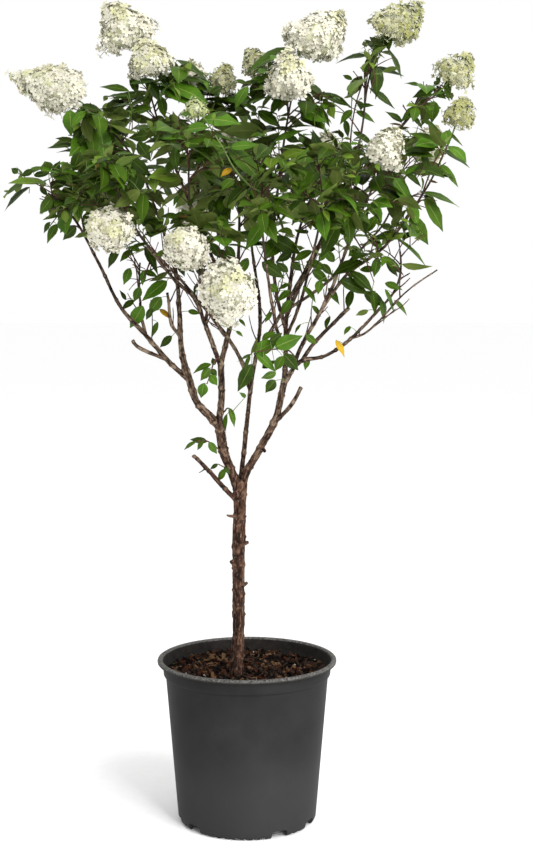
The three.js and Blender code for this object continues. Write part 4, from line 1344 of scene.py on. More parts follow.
# %% Sprays in the gaps
GAP_SPRAYS = [  # foot, tip and leaf length in mm
    ((62, 16, 1262), (34, 0, 1350), 80), ((64, 18, 1275), (62, 40, 1385), 78),
    ((-120, 54, 1250), (-62, 20, 1335), 78), ((66, 20, 1290), (16, 60, 1400), 74),
    ((-16, 22, 1109), (30, -30, 1180), 72), ((-150, -120, 1095), (-158, -160, 1185), 74),
    ((-165, -128, 1118), (-196, -170, 1170), 66), ((90, 2, 1109), (60, -50, 1165), 74),
    ((200, -86, 1150), (176, -130, 1170), 70), ((100, 10, 1420), (140, -20, 1395), 70),
]
for number, (foot, end, length) in enumerate(GAP_SPRAYS):
    foot, end = np.array(foot, float), np.array(end, float)
    bend = (foot + end) / 2 + UP * np.linalg.norm(end - foot) * 0.12
    spray = (foot, bend, end, None)
    add_twig(spray, 8, 1.3, 0.7, YOUNG_WOOD)
    leaves_along(WOOD, spray, Chance(5000 + number * 89), length, first=0.35, spacing=30)

# %% [markdown]
# ### From pixels to places and back
# The camera is known, so a point of the model falls on one pixel of the photograph, and a pixel together
# with a depth gives back one place.

# %% From pixels to places and back
def in_view(points):
    """Where points in mm fall in the photograph, in its pixels."""
    points = np.asarray(points, float) * MM - CAMERA_PLACE
    tilt = math.radians(CAMERA_TILT)
    depth = points[..., 1] * math.cos(tilt) - points[..., 2] * math.sin(tilt)
    rise = points[..., 2] * math.cos(tilt) + points[..., 1] * math.sin(tilt)
    return np.stack([IMAGE_WIDTH / 2 + FOCAL_PIXELS * points[..., 0] / depth,
                     IMAGE_HEIGHT / 2 - FOCAL_PIXELS * rise / depth], -1)


def at_depth(x, y, depth):
    """The place in mm that a pixel of the photograph shows at a depth, which is its y in the model."""
    tilt = math.radians(CAMERA_TILT)
    right, rise = (x - IMAGE_WIDTH / 2) / FOCAL_PIXELS, (IMAGE_HEIGHT / 2 - y) / FOCAL_PIXELS
    reach = (depth * MM - CAMERA_PLACE[1]) / (math.cos(tilt) + rise * math.sin(tilt))
    drop = rise * math.cos(tilt) - math.sin(tilt)
    return np.array([CAMERA_PLACE[0] + reach * right, depth * MM, CAMERA_PLACE[2] + reach * drop]) / MM


print("the trunk's foot shows at", in_view([*TRUNK_FOOT, SOIL_LEVEL]).round())

# %% [markdown]
# ### Leaves that stand out
# The fringe of the crown and the sprouts below it are what the eye compares first, and chance would
# never place them right. These twigs were picked out one by one, as lines of (pixel x, pixel y, depth in
# mm). The last of them is green, and carries the flower head in bud.

# %% Twigs that stand out
TRACED_TWIGS = [
    [(85, 236, -76), (78, 205, -84), (66, 200, -90), (52, 193, -92), (42, 187, -92), (30, 180, -90),
     (18, 173, -86)],
    [(92, 190, -70), (80, 180, -74), (66, 177, -78), (52, 172, -80), (40, 168, -80), (30, 170, -80)],
    [(78, 205, -84), (64, 208, -88), (56, 218, -90), (50, 226, -90)],
    [(84, 232, -80), (76, 226, -84), (68, 226, -88)],
    [(110, 134, -20), (98, 128, -24), (86, 122, -28), (80, 112, -30), (72, 108, -30)],
    [(104, 152, -28), (90, 150, -34), (78, 147, -38), (72, 143, -38)],
    [(349, 174, 38), (350, 150, 40), (352, 125, 42), (357, 100, 42), (366, 75, 42), (376, 55, 42),
     (386, 43, 42), (394, 34, 42)],
    [(390, 142, 0), (402, 127, 0), (412, 115, 0), (424, 103, 0), (436, 91, 0), (446, 80, 0)],
    [(411, 211, -76), (421, 196, -78), (428, 178, -78), (434, 163, -76), (440, 152, -74),
     (447, 138, -70)],
    [(411, 211, -76), (422, 200, -84), (430, 205, -90)],
    [(352, 233, -86), (362, 250, -94), (368, 266, -100), (374, 282, -104)],
    [(368, 232, -84), (377, 248, -92), (382, 258, -98), (396, 268, -102)],
    [(387, 300, -90), (398, 289, -98), (405, 283, -100), (410, 278, -100)],
    [(141, 303, -62), (138, 285, -66), (136, 268, -70), (132, 252, -74), (122, 246, -76)],
    [(150, 262, -86), (146, 272, -88), (142, 280, -88)],
    [(297, 359, -56), (288, 350, -66), (276, 349, -80), (262, 351, -92), (252, 352, -96)],
    [(219, 356, -36), (214, 362, -46), (211, 372, -50), (207, 384, -52)],
    [(222, 452, -36), (212, 444, -50), (204, 440, -58), (196, 442, -62)],
    [(231, 470, -30), (224, 467, -42), (218, 464, -48)],
    [(224, 412, -42), (228, 408, -50), (232, 412, -54)],
]
BUD_STALK = [(262, 192, -190), (252, 187, -200), (242, 178, -205), (232, 165, -200), (224, 150, -190),
             (216, 137, -175), (210, 127, -160), (204, 118, -145), (198, 112, -134)]
for line in TRACED_TWIGS + [BUD_STALK]:
    points = np.array([at_depth(*spot) for spot in line])
    wood = (1.7, 1.3, GREEN_WOOD) if line is BUD_STALK else (1.6, 0.8, YOUNG_WOOD)
    twig_lines.append((through(points, np.linspace(0, 1, 3 * len(points))), *wood))
bud_stalk = twig_lines[-1][0]
print("twigs:", len(twig_lines), "of them traced:", len(TRACED_TWIGS) + 1)

# %% [markdown]
# ### Leaves picked out one by one
# A leaf is its foot, its tip and the width that shows, in pixels, with its age; a width below zero shows
# the underside. Its true width is known from its length, so the width that shows tells how far the blade
# is turned. A stalk then joins it to the nearest wood.

# %% Leaves picked out one by one
D, M, F, Y, R = "deep", "mid", "fresh", "yellow", "rusty"
# The deep age marks old leaves, and also leaves that show dark in shadow, as painted shade.
TRACED_LEAVES = {  # depth in mm: (foot x, foot y, tip x, tip y, width that shows, age)
    -88: [(26, 181, 3, 194, 4, M), (30, 187, 1, 205, 5, D), (18, 173, 11, 168, 6, D),
     (28, 172, 46, 164, 5, M), (33, 170, 21, 176, 6, D), (34, 176, 50, 172, 6, D),
     (53, 173, 60, 161, 7, D), (58, 170, 74, 165, 5, D), (60, 180, 80, 172, 7, D),
     (66, 182, 50, 188, 6, D), (72, 188, 57, 197, 6, D), (52, 197, 39, 215, 10, M),
     (64, 205, 58, 221, 8, D), (58, 215, 43, 219, 4, M), (50, 222, 43, 233, 5, D),
     (57, 224, 46, 241, 8, M), (66, 224, 60, 233, 5, M), (76, 226, 63, 240, 9, D),
     (74, 200, 70, 214, 9, F), (77, 202, 79, 218, 8, F), (66, 207, 70, 222, 8, M),
     (50, 186, 60, 180, 5, D), (40, 187, 48, 196, 5, D), (98, 196, 82, 208, 10, D),
     (90, 190, 78, 194, 8, M), (80, 152, 73, 171, 11, D), (86, 160, 96, 174, 7, M)],
    -36: [(70, 110, 71, 135, 14, F), (82, 126, 73, 140, 8, D), (74, 141, 56, 137, 4, D),
     (74, 145, 48, 146, 4, D), (82, 150, 57, 151, 4, D), (84, 138, 76, 148, 6, D),
     (80, 106, 103, 111, 7, D), (125, 118, 91, 112, -6, M), (84, 118, 91, 143, -11, M),
     (101, 128, 105, 166, 17, F), (92, 130, 94, 156, 12, M), (138, 133, 108, 127, -4, M),
     (133, 105, 104, 105, 3, D), (128, 96, 103, 93, 4, D), (129, 91, 101, 82, 6, D),
     (150, 135, 129, 138, 10, D), (138, 142, 150, 160, 11, D), (153, 150, 136, 149, 9, D)],
    -196: [(126, 167, 112, 190, 15, M), (140, 190, 115, 209, -12, M), (144, 193, 141, 223, 12, M),
     (132, 160, 150, 176, 12, D), (228, 146, 264, 180, 15, M), (222, 147, 184, 140, 11, M),
     (225, 152, 190, 154, 8, M), (230, 147, 258, 143, 8, F), (232, 168, 221, 175, 5, Y),
     (160, 130, 190, 134, 5, M), (262, 172, 288, 190, 12, M), (246, 186, 226, 206, 12, D),
     (221, 226, 245, 245, -10, M), (263, 224, 245, 248, 12, F), (226, 246, 236, 260, 8, D),
     (211, 243, 222, 259, 9, D)],
    30: [(176, 60, 211, 76, 5, D), (182, 64, 184, 78, 5, D), (178, 78, 205, 80, 4, D),
     (236, 80, 250, 84, 4, D), (222, 87, 210, 93, 6, D), (137, 92, 130, 74, 8, D),
     (148, 80, 160, 101, 10, D), (157, 72, 177, 91, 8, D), (150, 98, 124, 104, 6, D),
     (152, 108, 116, 116, 8, M), (140, 94, 116, 96, 6, D), (176, 92, 196, 104, 8, D),
     (160, 96, 166, 118, 9, M), (196, 84, 218, 92, 6, D), (168, 74, 186, 92, 8, D)],
    -80: [(119, 248, 107, 267, 8, D), (131, 250, 120, 261, 6, M), (130, 268, 124, 284, 8, F),
     (140, 250, 128, 246, 5, M), (145, 246, 159, 274, 9, D), (143, 271, 158, 276, 6, M),
     (144, 270, 142, 285, 6, F), (167, 281, 142, 299, 12, F), (140, 287, 134, 302, 8, M),
     (161, 297, 149, 313, 11, M), (143, 306, 130, 328, 13, F), (134, 300, 121, 309, 6, D),
     (160, 309, 171, 318, 5, Y), (158, 322, 152, 336, 5, M), (172, 336, 159, 347, 7, D),
     (168, 272, 151, 283, -5, M), (197, 283, 194, 295, 4, D), (182, 262, 196, 272, 6, M)],
    42: [(392, 37, 361, 45, 6, D), (388, 40, 371, 53, 8, M), (390, 36, 388, 50, 6, D),
     (368, 56, 336, 57, 5, D), (376, 53, 363, 78, 10, M), (387, 48, 404, 76, 3, D),
     (372, 69, 404, 72, 5, D), (377, 66, 377, 96, 12, D), (362, 76, 347, 98, 11, D),
     (352, 80, 343, 74, 4, D), (369, 88, 396, 106, 5, D), (358, 106, 373, 104, 4, D),
     (356, 112, 377, 119, 6, M), (322, 101, 309, 80, 9, D), (320, 94, 353, 103, 8, D),
     (353, 132, 375, 144, 6, D), (352, 110, 340, 122, 7, M), (262, 81, 253, 104, 16, D),
     (284, 94, 268, 113, 7, F), (292, 48, 246, 68, 8, M), (300, 92, 318, 104, 6, D),
     (258, 111, 281, 125, 10, M), (285, 136, 300, 142, 7, D), (345, 120, 349, 137, 6, D)],
    0: [(420, 86, 405, 81, 4, D), (434, 88, 413, 97, 9, D), (434, 88, 446, 99, 8, D),
     (446, 81, 450, 100, 7, D), (440, 82, 436, 77, 4, D), (434, 101, 432, 122, 12, M),
     (421, 106, 400, 119, 9, M), (402, 122, 387, 109, 6, D), (412, 116, 424, 128, 5, D),
     (402, 126, 390, 122, 2, R), (402, 128, 410, 127, 2, R)],
    -84: [(420, 119, 446, 134, 5, D), (438, 144, 411, 130, 7, M), (436, 150, 405, 146, 6, D),
     (434, 157, 403, 150, 5, M), (422, 152, 430, 169, 6, D), (441, 150, 447, 130, 6, M),
     (442, 150, 472, 163, 5, D), (448, 132, 463, 145, 3, D), (440, 165, 460, 185, 7, M),
     (436, 171, 456, 177, 6, D), (424, 192, 461, 200, 6, M), (424, 199, 447, 229, 11, M),
     (405, 175, 418, 162, 5, F), (405, 173, 424, 184, 6, D), (410, 203, 419, 226, 10, F),
     (410, 216, 429, 244, 14, M), (366, 232, 378, 213, 9, M), (394, 178, 413, 205, 12, F),
     (398, 240, 428, 263, 4, M), (429, 181, 438, 182, 2, R), (430, 170, 420, 175, 2, R)],
    -102: [(382, 257, 407, 272, 8, M), (402, 264, 431, 271, -6, M), (350, 271, 374, 291, 9, D),
     (385, 283, 402, 289, 7, M), (362, 261, 331, 272, 10, D), (378, 257, 374, 277, 9, M),
     (340, 280, 370, 292, 12, D), (338, 223, 321, 256, 15, D), (320, 280, 318, 294, 8, M),
     (381, 300, 388, 323, 7, M), (372, 290, 378, 314, 8, D), (394, 300, 409, 313, 4, M),
     (385, 289, 397, 311, 4, M), (368, 310, 356, 316, -5, M), (350, 326, 344, 334, 4, M),
     (336, 340, 345, 356, 6, Y), (303, 286, 318, 299, 4, M), (322, 264, 332, 275, 7, D),
     (326, 252, 318, 262, 6, M)],
    -94: [(252, 364, 238, 391, 13, D), (275, 347, 302, 336, 14, F), (251, 353, 260, 338, -5, M),
     (256, 353, 276, 371, 9, F), (270, 342, 282, 333, 8, D), (283, 356, 275, 371, 9, M),
     (284, 354, 298, 370, 12, D), (276, 373, 262, 378, 7, M), (275, 380, 266, 392, 10, D),
     (262, 339, 275, 331, 6, M), (250, 356, 243, 369, 4, M), (252, 354, 237, 361, 3, M),
     (268, 285, 279, 292, 8, M), (290, 284, 277, 288, 4, M), (290, 290, 277, 301, 6, M),
     (291, 300, 280, 315, 8, M), (262, 262, 284, 278, 12, D), (293, 262, 301, 271, 8, D),
     (312, 251, 293, 260, 7, M), (301, 324, 294, 334, 3, M), (306, 335, 317, 344, 7, M),
     (239, 319, 246, 325, 3, D), (288, 272, 276, 262, 7, D)],
    -70: [(254, 352, 278, 341, 13, F), (262, 368, 276, 360, 6, D), (246, 397, 240, 393, 4, M),
     (236, 331, 243, 336, 3, M), (188, 311, 200, 313, 5, M), (308, 357, 305, 370, 6, M),
     (270, 238, 303, 251, 13, D), (306, 262, 330, 268, 8, M), (346, 262, 352, 280, 8, D),
     (328, 288, 340, 304, 7, M), (352, 290, 346, 308, 7, D), (364, 292, 386, 306, 11, D),
     (360, 270, 378, 268, 6, M), (386, 262, 398, 276, 6, D), (334, 262, 324, 248, 8, M),
     (312, 306, 322, 316, 5, M), (330, 316, 324, 328, 4, D), (312, 270, 330, 282, 9, M),
     (292, 252, 276, 262, 8, D), (272, 312, 264, 322, 5, M), (196, 262, 206, 280, 8, D),
     (216, 250, 232, 262, 9, D), (248, 258, 238, 276, 9, M), (176, 258, 186, 276, 8, D),
     (126, 300, 120, 290, 4, D), (152, 308, 146, 320, 6, D)],
    -52: [(211, 364, 193, 370, 6, M), (210, 368, 201, 380, 8, M), (211, 369, 217, 376, 6, D),
     (210, 375, 217, 385, 8, F), (204, 383, 201, 398, 10, F), (215, 365, 212, 357, 5, D),
     (207, 442, 190, 437, 6, D), (196, 442, 183, 448, 4, M), (209, 442, 217, 454, 7, M),
     (204, 440, 196, 450, 5, M), (218, 464, 210, 469, 4, D), (226, 469, 217, 481, 6, M),
     (224, 467, 230, 474, 4, D), (229, 408, 237, 426, 6, M), (227, 414, 223, 432, 5, M)],
}

# %% Turning each to the width that shows
TRACED = "traced"
BLADE_WIDTH = 0.54  # a blade's width as a share of its length
wood_points = np.concatenate([line_points] + [line for line, *_ in twig_lines])


def traced_leaf(foot, tip, wide, depth, age, chance):
    """One leaf picked out in the photograph, turned so that it shows the given width."""
    depth += chance(-14, 14)
    foot, tip = at_depth(*foot, depth), at_depth(*tip, depth + chance(-16, 10))
    way, length = unit(tip - foot), np.linalg.norm(tip - foot) * 1.04
    toward = unit(np.array(CAMERA_PLACE) / MM - foot)
    across = unit(np.cross(way, toward))
    across = across * (1 if across[2] > 0 else -1)
    pixel = np.linalg.norm(at_depth(1, 0, depth) - at_depth(0, 0, depth))
    full, shown = BLADE_WIDTH * length, abs(wide) * pixel * 1.15
    broad = min(1.35, max(0.85, shown / full))
    turn = math.acos(min(1, shown / (full * broad)))
    normal = unit(np.cross(across, way))
    normal = normal * (1 if normal.dot(toward) > 0 else -1)
    normal = normal * math.cos(turn) + across * math.sin(turn)
    node = wood_points[np.linalg.norm(wood_points - foot, axis=1).argmin()]
    petiole_specs.append((node, foot, way, len(leaf_specs)))
    leaf_specs.append((TRACED, foot, way, normal if wide > 0 else -normal, length, broad,
                       chance(0.1, 0.5), chance(0.05, 0.3), chance(-0.3, 0.3), TONES[age]))


chance = Chance(777)
for depth, rows in TRACED_LEAVES.items():
    for foot_x, foot_y, tip_x, tip_y, wide, age in rows:
        traced_leaf((foot_x, foot_y), (tip_x, tip_y), wide, depth, age, chance)
print("leaves in all:", len(leaf_specs), "twigs:", len(twig_lines))

# %% [markdown]
# ### Shaping all leaves at once
# Every leaf is the same small grid: seven stations along it, each with two edges, the middle of each half
# and the midrib on top, and one line below. The outline gives the width, a circle arc bends it along its
# length, and the halves rise from the midrib and curve over, with a slight wave along the edge.

# %% Shaping all leaves at once
LEAF_OUTLINE = [  # share of the length, half width as a share of the length
    (0.0, 0.014), (0.09, 0.14), (0.24, 0.24), (0.43, 0.27), (0.63, 0.215), (0.83, 0.09), (1.0, 0.004)]
LEAF_THICK = 0.5


def column(values):
    return values[:, None]


def leaf_points(root, way, normal, length, width, bend, fold, twist):
    """Points of n leaves, each 7 stations of 6 points, from arrays of their numbers."""
    across = np.cross(way, normal)
    across /= column(np.linalg.norm(across, axis=1))
    up = np.cross(across, way)
    rise, out = column(np.sin(fold)), column(np.cos(fold))
    points = np.empty((len(root), len(LEAF_OUTLINE), 6, 3))
    here, previous = root, 0.0
    for s, (share, half) in enumerate(LEAF_OUTLINE):
        angle = bend * (share + previous) / 2
        step = way * column(np.cos(angle)) - up * column(np.sin(angle))
        here = here + step * column((share - previous) * length)
        previous = share
        angle, spin = bend * share, column(twist * share)
        lift = up * column(np.cos(angle)) + way * column(np.sin(angle))
        side = across * np.cos(spin) + lift * np.sin(spin)
        lift = lift * np.cos(spin) - across * np.sin(spin)
        reach = column(half * length * width)
        wave = column(0.06 * np.sin(share * 9 + twist * 20))
        for sign, edge, between in ((-1, 0, 1), (1, 4, 3)):
            aside = side * reach * sign
            points[:, s, edge] = here + aside * out + lift * reach * (rise * 0.8 - sign * wave)
            points[:, s, between] = here + aside * 0.5 * out + lift * reach * (rise * 0.62 + 0.06)
        points[:, s, 2] = here + lift * LEAF_THICK * 0.5
        points[:, s, 5] = here - lift * LEAF_THICK * (0.5 if half > 0.02 else 0.3)
    return points


owners, *numbers, tone = map(np.array, zip(*leaf_specs))
leaves = leaf_points(*numbers)
print("points of the leaves:", leaves.shape)

# %% [markdown]
# ### The outline seen from the front
# The photograph gives the crown's true outline: a wide fan with notches of sky between its shoots,
# followed and given in pixels. A leaf of any depth that would show outside it, or in one of the round
# patches of sky inside it, is left off.

# %% The outline seen from the front
OUTLINE_PIXELS = [
    (2, 204), (2, 190), (12, 166), (22, 166), (34, 161), (50, 160), (56, 158), (70, 160), (68, 152),
    (56, 152), (46, 147), (48, 142), (56, 136), (66, 136), (60, 125), (60, 112), (66, 108), (76, 110),
    (80, 104), (90, 102), (102, 104), (104, 98), (100, 92), (106, 90), (122, 92), (128, 84), (134, 76),
    (150, 70), (168, 56), (176, 54), (210, 74), (226, 76), (240, 78), (256, 66), (276, 50), (292, 46),
    (300, 40), (310, 60), (312, 78), (322, 90), (334, 92), (346, 97), (350, 108), (350, 98), (342, 84),
    (344, 74), (358, 68), (362, 60), (340, 59), (336, 52), (358, 50), (362, 36), (392, 32), (398, 44),
    (392, 52), (404, 66), (390, 74), (384, 92), (396, 106), (372, 99), (364, 104), (376, 118),
    (360, 114), (356, 128), (372, 132), (378, 126), (392, 124), (396, 116), (387, 110), (400, 106),
    (413, 97), (413, 88), (404, 79), (420, 80), (432, 84), (436, 76), (446, 78), (454, 82), (454, 100),
    (442, 104), (442, 120), (436, 124), (448, 126), (456, 132), (464, 145), (454, 144), (464, 150),
    (472, 160), (472, 166), (452, 157), (440, 157), (436, 161), (450, 163), (460, 184), (444, 178),
    (430, 177), (428, 186), (426, 193), (450, 192), (462, 200), (446, 202), (434, 203), (446, 216),
    (446, 230), (430, 212), (424, 210), (424, 222), (430, 238), (424, 247), (410, 238), (416, 248),
    (428, 262), (404, 247), (388, 242), (384, 252), (406, 265), (398, 272), (386, 266), (378, 276),
    (366, 262), (352, 264), (340, 258), (326, 262), (300, 262), (264, 268), (262, 256), (240, 254),
    (210, 248), (200, 240), (176, 250), (160, 262), (150, 262), (140, 254), (132, 258), (122, 250),
    (104, 244), (84, 244), (80, 238), (64, 242), (60, 234), (48, 242), (42, 238), (40, 218), (36, 214),
    (38, 198), (52, 192), (48, 188), (38, 190), (30, 188), (20, 198),
]


def inside_outline(points):
    """Which points show inside the crown's outline, by counting the edges to their right."""
    spots = in_view(points)
    inside = np.zeros(spots.shape[:-1], bool)
    for (x0, y0), (x1, y1) in zip(OUTLINE_PIXELS, OUTLINE_PIXELS[1:] + OUTLINE_PIXELS[:1]):
        if y0 == y1:
            continue
        between = (spots[..., 1] > min(y0, y1)) & (spots[..., 1] <= max(y0, y1))
        crossing = x0 + (spots[..., 1] - y0) / (y1 - y0) * (x1 - x0)
        inside ^= between & (spots[..., 0] < crossing)
    return inside


# %% [markdown]
# ### Which leaves stay
# A leaf of a mass stays where its mass owns the space. A leaf that isn't traced must also be clear of
# wood and heads, and inside the outline. None may stand far outside the box of the solids, or in front
# of the green stalk. What is tested is a leaf's edges, its midrib and its tip.

# %% Which leaves stay
NOTCHES = [  # sky inside the outline: middle and radius, in pixels
    (408, 154, 6), (419, 157, 5), (366, 94, 6), (343, 112, 6), (305, 238, 7), (316, 243, 6),
    (155, 245, 7), (168, 106, 6), (178, 111, 5), (418, 168, 5), (415, 187, 6), (363, 184, 5),
    (186, 177, 5), (94, 245, 5), (109, 247, 5),
]
EDGE_STATIONS, EDGE_POINTS = [2, 3, 3, 4, 5, 6], [0, 4, 0, 4, 2, 2]
BOX_SPARE = 6
STALK_VIEW = 9  # pixels kept free on each side of the green stalk

edge = leaves[:, EDGE_STATIONS, EDGE_POINTS]
edge_view = in_view(edge)
traced = owners == TRACED
nodes = np.array([petiole[0] for petiole in petiole_specs])
kept = ~np.isin(owners, MASS_NAMES)
for name in MASS_NAMES:
    mine = owners == name
    kept[mine] = owned(name, edge[mine], margin=-9, reach=1.42).all(1)
free = clear_of_wood(edge, 2.5).all(1) & clear_of_heads(edge, 0.86).all(1)
free &= inside_outline(edge).all(1) & inside_outline(nodes)
for x, y, radius in NOTCHES:
    free &= (np.linalg.norm(edge_view - (x, y), axis=2) > radius).all(1)
kept &= traced | free
low, high = (np.array(corner) / MM for corner in cad_box)
kept &= ((leaves > low - BOX_SPARE) & (leaves < high + BOX_SPARE)).all((1, 2, 3))
middle = leaves[:, 3, 2]
gap = np.linalg.norm(in_view(middle)[:, None] - in_view(bud_stalk), axis=2)
kept &= ~((gap < STALK_VIEW) & (middle[:, 1, None] < bud_stalk[:, 1])).any(1)
print("leaves kept:", kept.sum(), "of", len(kept))

# %% [markdown]
# ### Leaves as two pieces
# The crown's leaves are split by depth into a front and a back piece, so that neither grows too large.
# Each blade is closed, with 40 faces. A UV map keeps each leaf's own place across and along, which the
# veins read. Top and underside are separate finishes, because the underside is paler.

# %% Many copies as one mesh
def copies(name, points, faces, tones, uv_name, uv):
    """One mesh from n sets of points of a small shape, with a UV map that each copy repeats."""
    count, size = points.shape[:2]
    all_faces = (faces + np.arange(count)[:, None, None] * size).reshape(-1, faces.shape[1])
    obj = mesh_from_arrays(name, points.reshape(-1, 3) * MM, all_faces, tones)
    corner = np.empty(len(obj.data.loops), np.int32)
    obj.data.loops.foreach_get("vertex_index", corner)
    layer = obj.data.uv_layers.new(name=uv_name)
    layer.data.foreach_set("uv", uv[corner % size].astype(np.float32).ravel())
    return obj


# %% Leaves as two pieces
def leaf_faces(count):
    """The quads of a leaf of so many stations, and which of them are its underside."""
    faces, under = [], []
    for a in range(0, (count - 1) * 6, 6):
        b = a + 6
        faces += [[a + k, a + k + 1, b + k + 1, b + k] for k in range(4)]
        faces += [[a + 5, a, b, b + 5], [a + 4, a + 5, b + 5, b + 4]]
        under += [0, 0, 0, 0, 1, 1]
    faces += [[0, 5, 2, 1], [5, 4, 3, 2], [b + 1, b + 2, b + 5, b], [b + 2, b + 3, b + 4, b + 5]]
    return np.array(faces), np.array(under + [1, 1, 1, 1])


LEAF_FACES, LEAF_UNDER = leaf_faces(len(LEAF_OUTLINE))
LEAF_UV = np.array([[0.5 + side, share] for share, half in LEAF_OUTLINE
                    for side in (-0.5, -0.25, 0, 0.25, 0.5, 0)])
in_front = middle[:, 1] < np.median(middle[kept, 1])


def leaf_piece(name, chosen):
    points = leaves[chosen].reshape(chosen.sum(), -1, 3)
    tones = (tone[chosen][:, None] * 2 + LEAF_UNDER).ravel()
    return copies(name, points, LEAF_FACES, tones, "blade", LEAF_UV)


front_leaves = leaf_piece("front_leaves", kept & in_front)
back_leaves = leaf_piece("back_leaves", kept & ~in_front)

# %% [markdown]
# ### Leaf finishes
# A hydrangea leaf is matt to satin above, with an IOR of 1.45, and paler and duller below. The midrib
# and about eight pairs of side veins are paler. They are drawn from the UV map: distance from the middle
# line gives the midrib, and a wave that bends towards the tip gives the side veins, 6 to 10 mm apart.
# Each tone is one age of leaf, dealt out by shoot, and the deep tone also stands in as painted shade.

# %% Leaf finishes
VEIN_COUNT, VEIN_SLANT = 8.5, -0.55


def leaf_finish(name, colours, vein, under):
    roughness, gloss = (0.7, 0.08) if under else (0.46, 0.15)
    material, tree, shader, place = new_material(name, roughness, 1.45, gloss)
    uv = add_node(tree, "ShaderNodeUVMap", {"uv_map": "blade"}).outputs["UV"]
    parts = add_node(tree, "ShaderNodeSeparateXYZ", Vector=uv).outputs
    out = calculate(tree, "ABSOLUTE", calculate(tree, "SUBTRACT", parts["X"], 0.5))
    rib = eased(tree, out, 0.040, 0.010)
    slanted = calculate(tree, "MULTIPLY_ADD", out, VEIN_SLANT, parts["Y"])
    wave = calculate(tree, "PINGPONG", calculate(tree, "MULTIPLY", slanted, VEIN_COUNT), 0.5)
    veins = calculate(tree, "MAXIMUM", rib, eased(tree, wave, 0.10, 0.0, most=0.3))
    base = ramp(tree, noise(tree, place, 38.0, 3.0), list(zip((0.32, 0.68), colours)))
    dress(tree, shader, blend(tree, veins, base, linear(vein)), veins, 0.4, 0.0006, sunk=not under)
    return material


LEAF_COLOURS = {  # upper side, veins, underside
    # The deep tone: the green of old leaves, also used as painted shade.
    "deep": (("#1f3103", "#2f4606"), "#536426", ("#404c1d", "#525f29")),
    "mid": (("#2f4a06", "#3f5d0b"), "#657734", ("#4c5926", "#606d34")),
    "fresh": (("#375b0c", "#4a7015"), "#73843e", ("#54662b", "#657738")),
    "young": (("#4e6c19", "#637a25"), "#818c49", ("#637737", "#738344")),
    "yellow": (("#a27a12", "#b8941d"), "#c5aa4c", ("#a28228", "#b2963c")),
    "rusty": (("#54391a", "#63511f"), "#85703f", ("#614f29", "#705d34")),
}
leaf_finishes = []
for age in TONES:
    top, vein, below = LEAF_COLOURS[age]
    leaf_finishes += [leaf_finish(age + " leaf, upper side", top, vein, under=False),
                      leaf_finish(age + " leaf, underside", below, vein, under=True)]
print("leaf finishes:", len(leaf_finishes))

# %% [markdown]
# ## Panicles
# A panicle is a cone of four-sepalled florets, creamy white when open and greener when young, 10 to 15 mm
# across, packed so that they overlap, with greenish shadow between them. A floret is one closed shape: a
# rim that swings out and up round each sepal, a middle on top and one below.

# %% One floret
SEPAL_RIM = ((0.0, 0.20, 0.0), (0.36, 0.46, 0.05), (0.785, 0.53, 0.10), (1.21, 0.46, 0.03))


def floret_shape():
    """Four rounded sepals as one closed shape, about 1 across: points, quads and UV."""
    rim = [(reach * math.cos(k * math.pi / 2 + turn), reach * math.sin(k * math.pi / 2 + turn), lift)
           for k in range(4) for turn, reach, lift in SEPAL_RIM]
    verts = np.array([(0, 0, 0)] + rim + [(0, 0, -0.08)])
    faces = []
    for a in range(1, 17, 2):
        b, c = a + 1, 1 + (a + 1) % 16
        faces += [[0, a, b, c], [17, c, b, a]]
    return verts, np.array(faces), verts[:, :2] / 1.06 + 0.5
FLORET, FLORET_FACES, FLORET_UV = floret_shape()
print("faces of a floret:", len(FLORET_FACES))

# %% [markdown]
# ### Heads that differ
# The heads stand where the solids have them. Twelve are stretched and shifted a little, to the size and
# place that they show in the photograph, and one at the back is lowered, so that it stays hidden from the
# front. Six are young and green, and one of these is still in bud.

# %% Heads that differ
HEAD_SCALE = 0.9
HEAD_FITS = {  # stretch across and up, then shift to the right and up in mm
    0: (1.29, 1.08, 11, -1), 1: (1.30, 1.12, 4, 0), 2: (1.12, 1.0, 0, -3), 5: (1.28, 0.97, 8, 3),
    8: (1.25, 0.94, -1, -3), 9: (1.28, 1.05, 2, 0), 10: (1.06, 1.0, 2, -3), 11: (0.88, 1.02, -6, -5),
    12: (1.25, 1.1, 4, -3), 13: (0.92, 0.81, -3, 3), 14: (0.93, 1.01, 0, -2), 15: (1.08, 0.85, -4, 3),
    19: (1.0, 1.0, 0, -45),
}
GREEN_HEADS = (3, 7, 8, 9, 10, 12)
BUD = 12


def on_head(index, points, away=False):
    """Points, or ways off the surface, from a head's own axes to the model's."""
    middle, lean, _, _ = HEADS[index]
    lean = unit(lean)
    level = unit(np.cross(lean, UP) + 1e-6)
    axes = np.column_stack([level, np.cross(lean, level), lean])
    across, up, right, rise = HEAD_FITS.get(index, (1, 1, 0, 0))
    if away:
        ways = points @ axes.T / (across, 1, up)
        return ways / np.linalg.norm(ways, axis=1)[:, None]
    return np.array(middle) + (right, 0, rise) + points @ axes.T * (across, 1, up)


def cone_points(ball, wide, long):
    """Points of a unit ball moved onto a head: broad and blunt at its stalk, drawn in to its apex."""
    z = ball[:, 2]
    spread = wide / 2 * (0.93 - 0.44 * z)
    rise = long / 2 * np.where(z < 0, z * 0.8, z * 1.06)
    return np.column_stack([ball[:, 0] * spread, ball[:, 1] * spread, rise])


# %% [markdown]
# ### Florets over each head
# Florets are spread over each head by the golden angle, nearly two layers deep, each facing out and tipped
# at random. Noise makes the head lumpy, and stray florets stand off it on stalks of their own. Noise and
# height decide which of a head's two tones a floret has.

# %% Florets over each head
GREENER_FROM = {2: 0.0, 3: 0.2, 7: 0.25, 8: -0.1, 9: 0.2, 10: -0.5, 12: -1.0}
floret_stalks = []  # root and end of each


